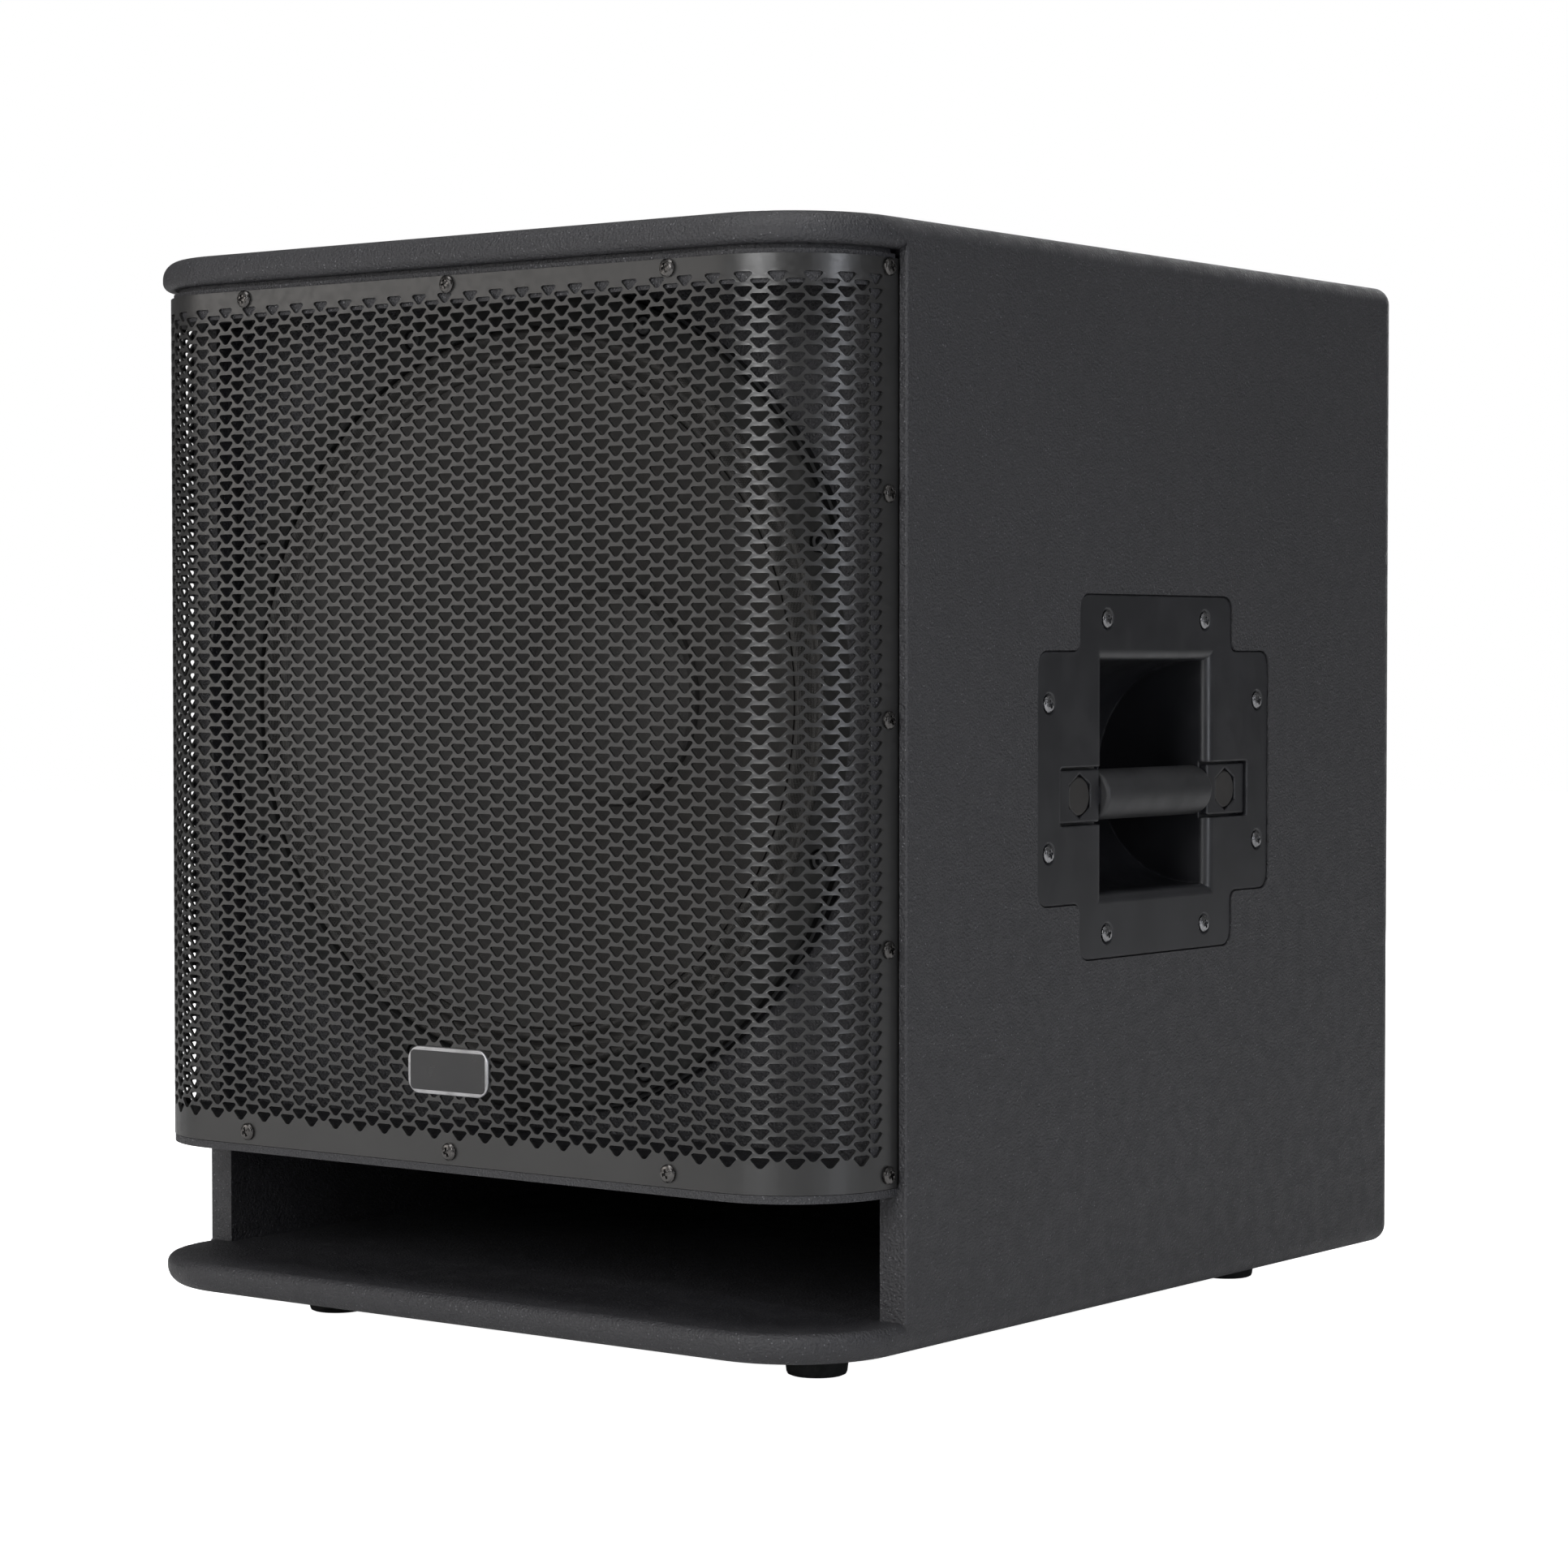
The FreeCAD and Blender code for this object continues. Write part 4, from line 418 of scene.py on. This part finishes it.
def make_perforated_grille():
    """Steel sheet with rounded-triangle holes in staggered columns, bent round both front corners."""
    base_z = GRILLE_LOW.z
    column_start = MIDDLE_COLUMN - COLUMNS // 2 * COLUMN_PITCH
    row_start = base_z + FIRST_ROW_RISE
    points = []
    index = {}
    flat_faces = []

    def vertex(along, height):
        key = (round(along * 1e5), round(height * 1e5))
        if key not in index:
            index[key] = len(points)
            points.append((along, height))
        return index[key]

    def cell_vertices(column, row, offset):
        centre_s = column_start + column * COLUMN_PITCH + offset * COLUMN_PITCH / 2
        centre_z = row_start + row * ROW_PITCH + offset * ROW_PITCH / 2
        return centre_s, centre_z, [vertex(centre_s + u, centre_z + v) for u, v in CELL]

    for column in range(COLUMNS):
        for row in range(ROWS):
            for offset in (0, 1):
                centre_s, centre_z, cell = cell_vertices(column, row, offset)
                rim = []
                for u, v in HOLE:
                    rim.append(len(points))
                    points.append((centre_s + u, centre_z + v))
                count = len(rim)
                for k in range(count):
                    after = (k + 1) % count
                    corner = RIM_TO_CELL[k]
                    next_corner = RIM_TO_CELL[after]
                    flat_faces.append((rim[k], rim[after], cell[corner]))
                    if next_corner != corner:
                        flat_faces.append((rim[after], cell[next_corner], cell[corner]))

    def band(inner, outer):
        for k in range(len(inner) - 1):
            flat_faces.append((inner[k], inner[k + 1], outer[k + 1], outer[k]))

    high_z = GRILLE_HIGH.z
    top = []
    bottom = []
    for column in range(COLUMNS):
        for offset in (0, 1):
            top += cell_vertices(column, ROWS - 1, offset)[2][1::-1]
            bottom += cell_vertices(column, 0, offset)[2][3:5]
    left = []
    right = []
    for row in range(ROWS):
        cell = cell_vertices(0, row, 0)[2]
        left += [cell[3], cell[2]]
        cell = cell_vertices(COLUMNS - 1, row, 1)[2]
        right += [cell[4], cell[5]]
    left.append(top[0])
    right.append(top[-1])
    band(top, [vertex(points[i][0], high_z) for i in top])
    band(bottom, [vertex(points[i][0], base_z) for i in bottom])
    band(left, [vertex(-SHEET_HALF, points[i][1]) for i in left])
    band(right, [vertex(SHEET_HALF, points[i][1]) for i in right])
    for ends, height in ((top, high_z), (bottom, base_z)):
        for corner, side in ((ends[0], -1), (ends[-1], 1)):
            s, z = points[corner]
            edge = side * SHEET_HALF
            flat_faces.append((corner, vertex(s, height), vertex(edge, height), vertex(edge, z)))

    oriented = []
    for face in flat_faces:
        area = 0.0
        for k in range(len(face)):
            a = points[face[k]]
            b = points[face[(k + 1) % len(face)]]
            area += a[0] * b[1] - b[0] * a[1]
        if abs(area) > 1e-12:
            oriented.append(face if area > 0 else face[::-1])
    count = len(points)
    solid = []
    for depth in (0.0, SHEET):
        for s, z in points:
            x, y = sheet_point(s, depth)
            solid.append((x, y, z))
    faces = [tuple(face) for face in oriented]
    faces += [tuple(i + count for i in face[::-1]) for face in oriented]
    used = [(face[k], face[(k + 1) % len(face)]) for face in oriented for k in range(len(face))]
    known = set(used)
    for a, b in used:
        if (b, a) not in known:
            faces.append((b, a, a + count, b + count))
    return add_piece("grille_perforated", solid, faces, GRILLE_COAT, "cabinet", 38.0)


grille = make_perforated_grille()
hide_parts("grille")


# ---------------------------------------------------------------- driver's moving edges
BAFFLE_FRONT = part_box("front_baffle")[0].y
DRIVER_Z = 0.362


def ring_piece(name, profile, thickness, look, weights, segments=144):
    """Turned ring about the driver's axis. The weights argument is not used: the shares built from it move
    no point.
    """
    points = []
    faces = []
    shares = []
    steps = len(profile)
    for side in (0.0, thickness):
        for radius, depth in profile:
            for k in range(segments):
                angle = 2 * math.pi * k / segments
                x = radius * math.cos(angle)
                z = DRIVER_Z + radius * math.sin(angle)
                points.append((x, BAFFLE_FRONT + depth + side, z))
        for weight in weights:
            shares += [weight] * segments
    count = steps * segments
    for i in range(steps - 1):
        for k in range(segments):
            a = i * segments + k
            b = i * segments + (k + 1) % segments
            c = b + segments
            d = a + segments
            faces.append((a, b, c, d))
            faces.append((d + count, c + count, b + count, a + count))
    for k in range(segments):
        after = (k + 1) % segments
        faces.append((after, k, k + count, after + count))
        last = (steps - 1) * segments
        faces.append((last + k, last + after, last + after + count, last + k + count))
    piece = add_piece(name, points, faces, look, None, 50.0)
    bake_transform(piece)
    return piece


def rolled(inner, outer, depth, height, rolls, steps, hold):
    """Waves between two radii, and how far each of their points follows the cone."""
    profile = []
    weights = []
    for k in range(rolls * steps + 1):
        share = k / (rolls * steps)
        swell = math.sin(math.pi * rolls * share)
        profile.append((inner + (outer - inner) * share, depth - height * swell))
        follow = max(0.0, 1.0 - share / hold)
        weights.append(follow * follow * (3 - 2 * follow))
    return profile, weights


profile, weights = rolled(0.18345, 0.2056, depth=-0.0062, height=0.0036, rolls=3, steps=12, hold=0.92)
surround = ring_piece("surround_rolls", profile, 0.0009, CLOTH, weights)
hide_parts("cone_surround")
profile, weights = rolled(0.0512, 0.1085, depth=0.119, height=0.002, rolls=9, steps=8, hold=0.95)
spider = ring_piece("spider_rolls", profile, 0.0007, RESIN_CLOTH, weights)
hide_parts("spider")


# ---------------------------------------------------------------- badge inlay
def make_badge_inlay():
    """Plain dark enamel panel on the plate, with a narrow bright margin round it."""
    low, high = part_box("badge_plate")
    middle_x, middle_z = (low.x + high.x) / 2, (low.z + high.z) / 2
    margin = 0.0022
    half_x, half_z = (high.x - low.x) / 2 - margin, (high.z - low.z) / 2 - margin
    radius = 0.0028
    lift = 0.0002
    outline = []
    for corner, (sx, sz) in enumerate(((1, 1), (-1, 1), (-1, -1), (1, -1))):
        for k in range(9):
            angle = math.pi / 2 * (corner + k / 8)
            x = middle_x + sx * (half_x - radius) + radius * math.cos(angle)
            outline.append((x, middle_z + sz * (half_z - radius) + radius * math.sin(angle)))
    count = len(outline)
    points = [(x, low.y - lift, z) for x, z in outline] + [(x, low.y + lift, z) for x, z in outline]
    faces = [tuple(range(count)), tuple(range(2 * count - 1, count - 1, -1))]
    for k in range(count):
        after = (k + 1) % count
        faces.append((k, k + count, after + count, after))
    add_piece("badge_inlay", points, faces, ENAMEL, "cabinet", 30.0)


make_badge_inlay()


# ---------------------------------------------------------------- panel print
TICK_START, LONG_TICK_END, SHORT_TICK_END, TICK_HALF = 0.0098, 0.0125, 0.0115, 0.00035
RULE_HEIGHTS = (0.298, 0.226, 0.346)
RULE_INSET, RULE_HALF = 0.02, 0.0003
BOX_FACES = ((0, 1, 3, 2), (4, 6, 7, 5), (0, 4, 5, 1), (2, 3, 7, 6), (0, 2, 6, 4), (1, 5, 7, 3))


def bar(points, faces, low, high):
    start = len(points)
    for x in (low[0], high[0]):
        for y in (low[1], high[1]):
            for z in (low[2], high[2]):
                points.append((x, y, z))
    for face in BOX_FACES:
        faces.append(tuple(start + i for i in face))


def spun_bar(points, faces, centre, angle, inner, outer, half, low_y, high_y):
    """Small bar that points away from a knob's centre, parallel to the rear plate."""
    start = len(points)
    along = (math.cos(angle), math.sin(angle))
    across = (-along[1], along[0])
    for distance in (inner, outer):
        for side in (-half, half):
            for y in (low_y, high_y):
                x = centre[0] + along[0] * distance + across[0] * side
                z = centre[1] + along[1] * distance + across[1] * side
                points.append((x, y, z))
    for face in BOX_FACES:
        faces.append(tuple(start + i for i in face))


def make_panel_print():
    """Scale ticks round the knobs and plain rules between the groups of controls."""
    points = []
    faces = []
    face_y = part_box("amplifier_plate")[1].y
    low_y, high_y = face_y - 0.0001, face_y + 0.00012
    for knob in ("level_knob", "crossover_knob"):
        low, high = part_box(knob)
        centre = ((low.x + high.x) / 2, (low.z + high.z) / 2)
        for k in range(11):
            angle = math.radians(-60 + 30 * k)
            tick_end = LONG_TICK_END if k % 5 == 0 else SHORT_TICK_END
            spun_bar(points, faces, centre, angle, TICK_START, tick_end, TICK_HALF, low_y, high_y)
    low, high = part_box("amplifier_plate")
    left, right = low.x + RULE_INSET, high.x - RULE_INSET
    for z in RULE_HEIGHTS:
        bar(points, faces, (left, low_y, z - RULE_HALF), (right, high_y, z + RULE_HALF))
    add_piece("panel_print", points, faces, PRINT, "cabinet", 20.0)


make_panel_print()


def make_knob_pointer(knob, body):
    """Pale line across a knob's face, so that its setting shows."""
    points = []
    faces = []
    low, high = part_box(knob)
    centre = ((low.x + high.x) / 2, (low.z + high.z) / 2)
    reach = (high.x - low.x) / 2
    half = 0.0005
    low_y, high_y = high.y - 0.0002, high.y + 0.00015
    spun_bar(points, faces, centre, math.pi / 2, 0.25 * reach, 0.72 * reach, half, low_y, high_y)
    add_piece(knob + "_pointer", points, faces, PRINT, body, 20.0)


make_knob_pointer("level_knob", "level_control")
make_knob_pointer("crossover_knob", "crossover_control")


# ---------------------------------------------------------------- stage, light and camera
def make_floor():
    mesh = bpy.data.meshes.new("floor")
    rim = 96
    reach = 9
    angles = [2 * math.pi * k / rim for k in range(rim)]
    points = [(0, 0, 0)] + [(reach * math.cos(angle), reach * math.sin(angle), 0) for angle in angles]
    mesh.from_pydata(points, [], [(0, 1 + k, 1 + (k + 1) % rim) for k in range(rim)])
    material = bpy.data.materials.new("pale_floor")
    material.use_nodes = True
    tree = material.node_tree
    surface = tree.nodes["Principled BSDF"]
    surface.inputs["Base Color"].default_value = (0.86, 0.86, 0.86, 1)
    surface.inputs["Roughness"].default_value = 0.9
    surface.inputs["Specular IOR Level"].default_value = 0.1
    seen = tree.nodes.new("ShaderNodeLightPath")
    glow = tree.nodes.new("ShaderNodeMapRange")
    glow.inputs["To Min"].default_value = 0.0
    glow.inputs["To Max"].default_value = 1.0
    tree.links.new(seen.outputs["Is Camera Ray"], glow.inputs["Value"])
    tree.links.new(glow.outputs["Result"], surface.inputs["Emission Strength"])
    surface.inputs["Emission Color"].default_value = (1, 1, 1, 1)
    mesh.materials.append(material)
    floor = bpy.data.objects.new("floor", mesh)
    bpy.context.scene.collection.objects.link(floor)


def add_softbox(name, place, target, width, height, power, tone=(1, 1, 1)):
    data = bpy.data.lights.new(name, "AREA")
    data.shape = "RECTANGLE"
    data.size = width
    data.size_y = height
    data.energy = power
    data.color = tone
    light = bpy.data.objects.new(name, data)
    bpy.context.scene.collection.objects.link(light)
    light.location = place
    light.rotation_mode = "QUATERNION"
    light.rotation_quaternion = (Vector(target) - Vector(place)).to_track_quat("-Z", "Y")


make_floor()
scene = bpy.context.scene
scene.view_settings.view_transform = "Standard"
world = bpy.data.worlds.new("studio")
scene.world = world
world.use_nodes = True
world_tree = world.node_tree
background = world_tree.nodes["Background"]
background.inputs["Color"].default_value = (1.0, 1.0, 1.0, 1)
seen = world_tree.nodes.new("ShaderNodeLightPath")
strength = world_tree.nodes.new("ShaderNodeMapRange")
strength.inputs["To Min"].default_value = 0.13
strength.inputs["To Max"].default_value = 1.0
world_tree.links.new(seen.outputs["Is Camera Ray"], strength.inputs["Value"])
world_tree.links.new(strength.outputs["Result"], background.inputs["Strength"])

middle = Vector((0, -0.05, 0.32))
add_softbox("top_box", (0.2, -0.5, 2.8), middle, 1.8, 1.8, 45)
add_softbox("front_box", (0.35, -3.2, 1.5), middle, 1.3, 1.5, 62)
add_softbox("front_left_box", (-2.1, -2.3, 0.7), middle, 1.0, 1.3, 12, (1.0, 0.96, 0.92))
add_softbox("right_box", (3.0, -0.62, 0.95), middle, 0.38, 1.6, 26, (0.9, 0.93, 1.0))
add_softbox("corner_box", (0.62, -3.4, 0.55), middle, 0.8, 1.2, 9, (0.95, 0.97, 1.0))
add_softbox("back_box", (-0.6, 3.0, 1.1), middle, 1.8, 1.8, 34)

camera_data = bpy.data.cameras.new("camera")
camera = bpy.data.objects.new("camera", camera_data)
scene.collection.objects.link(camera)
camera_data.sensor_width = 36.0
camera_data.lens = 92.01
camera_data.clip_start = 0.05
camera_data.clip_end = 60.0
camera.location = (1.45328, -1.91944, 0.387)
camera.rotation_euler = (math.radians(90.0 - 1.8648), 0.0, math.radians(37.047))
scene.camera = camera
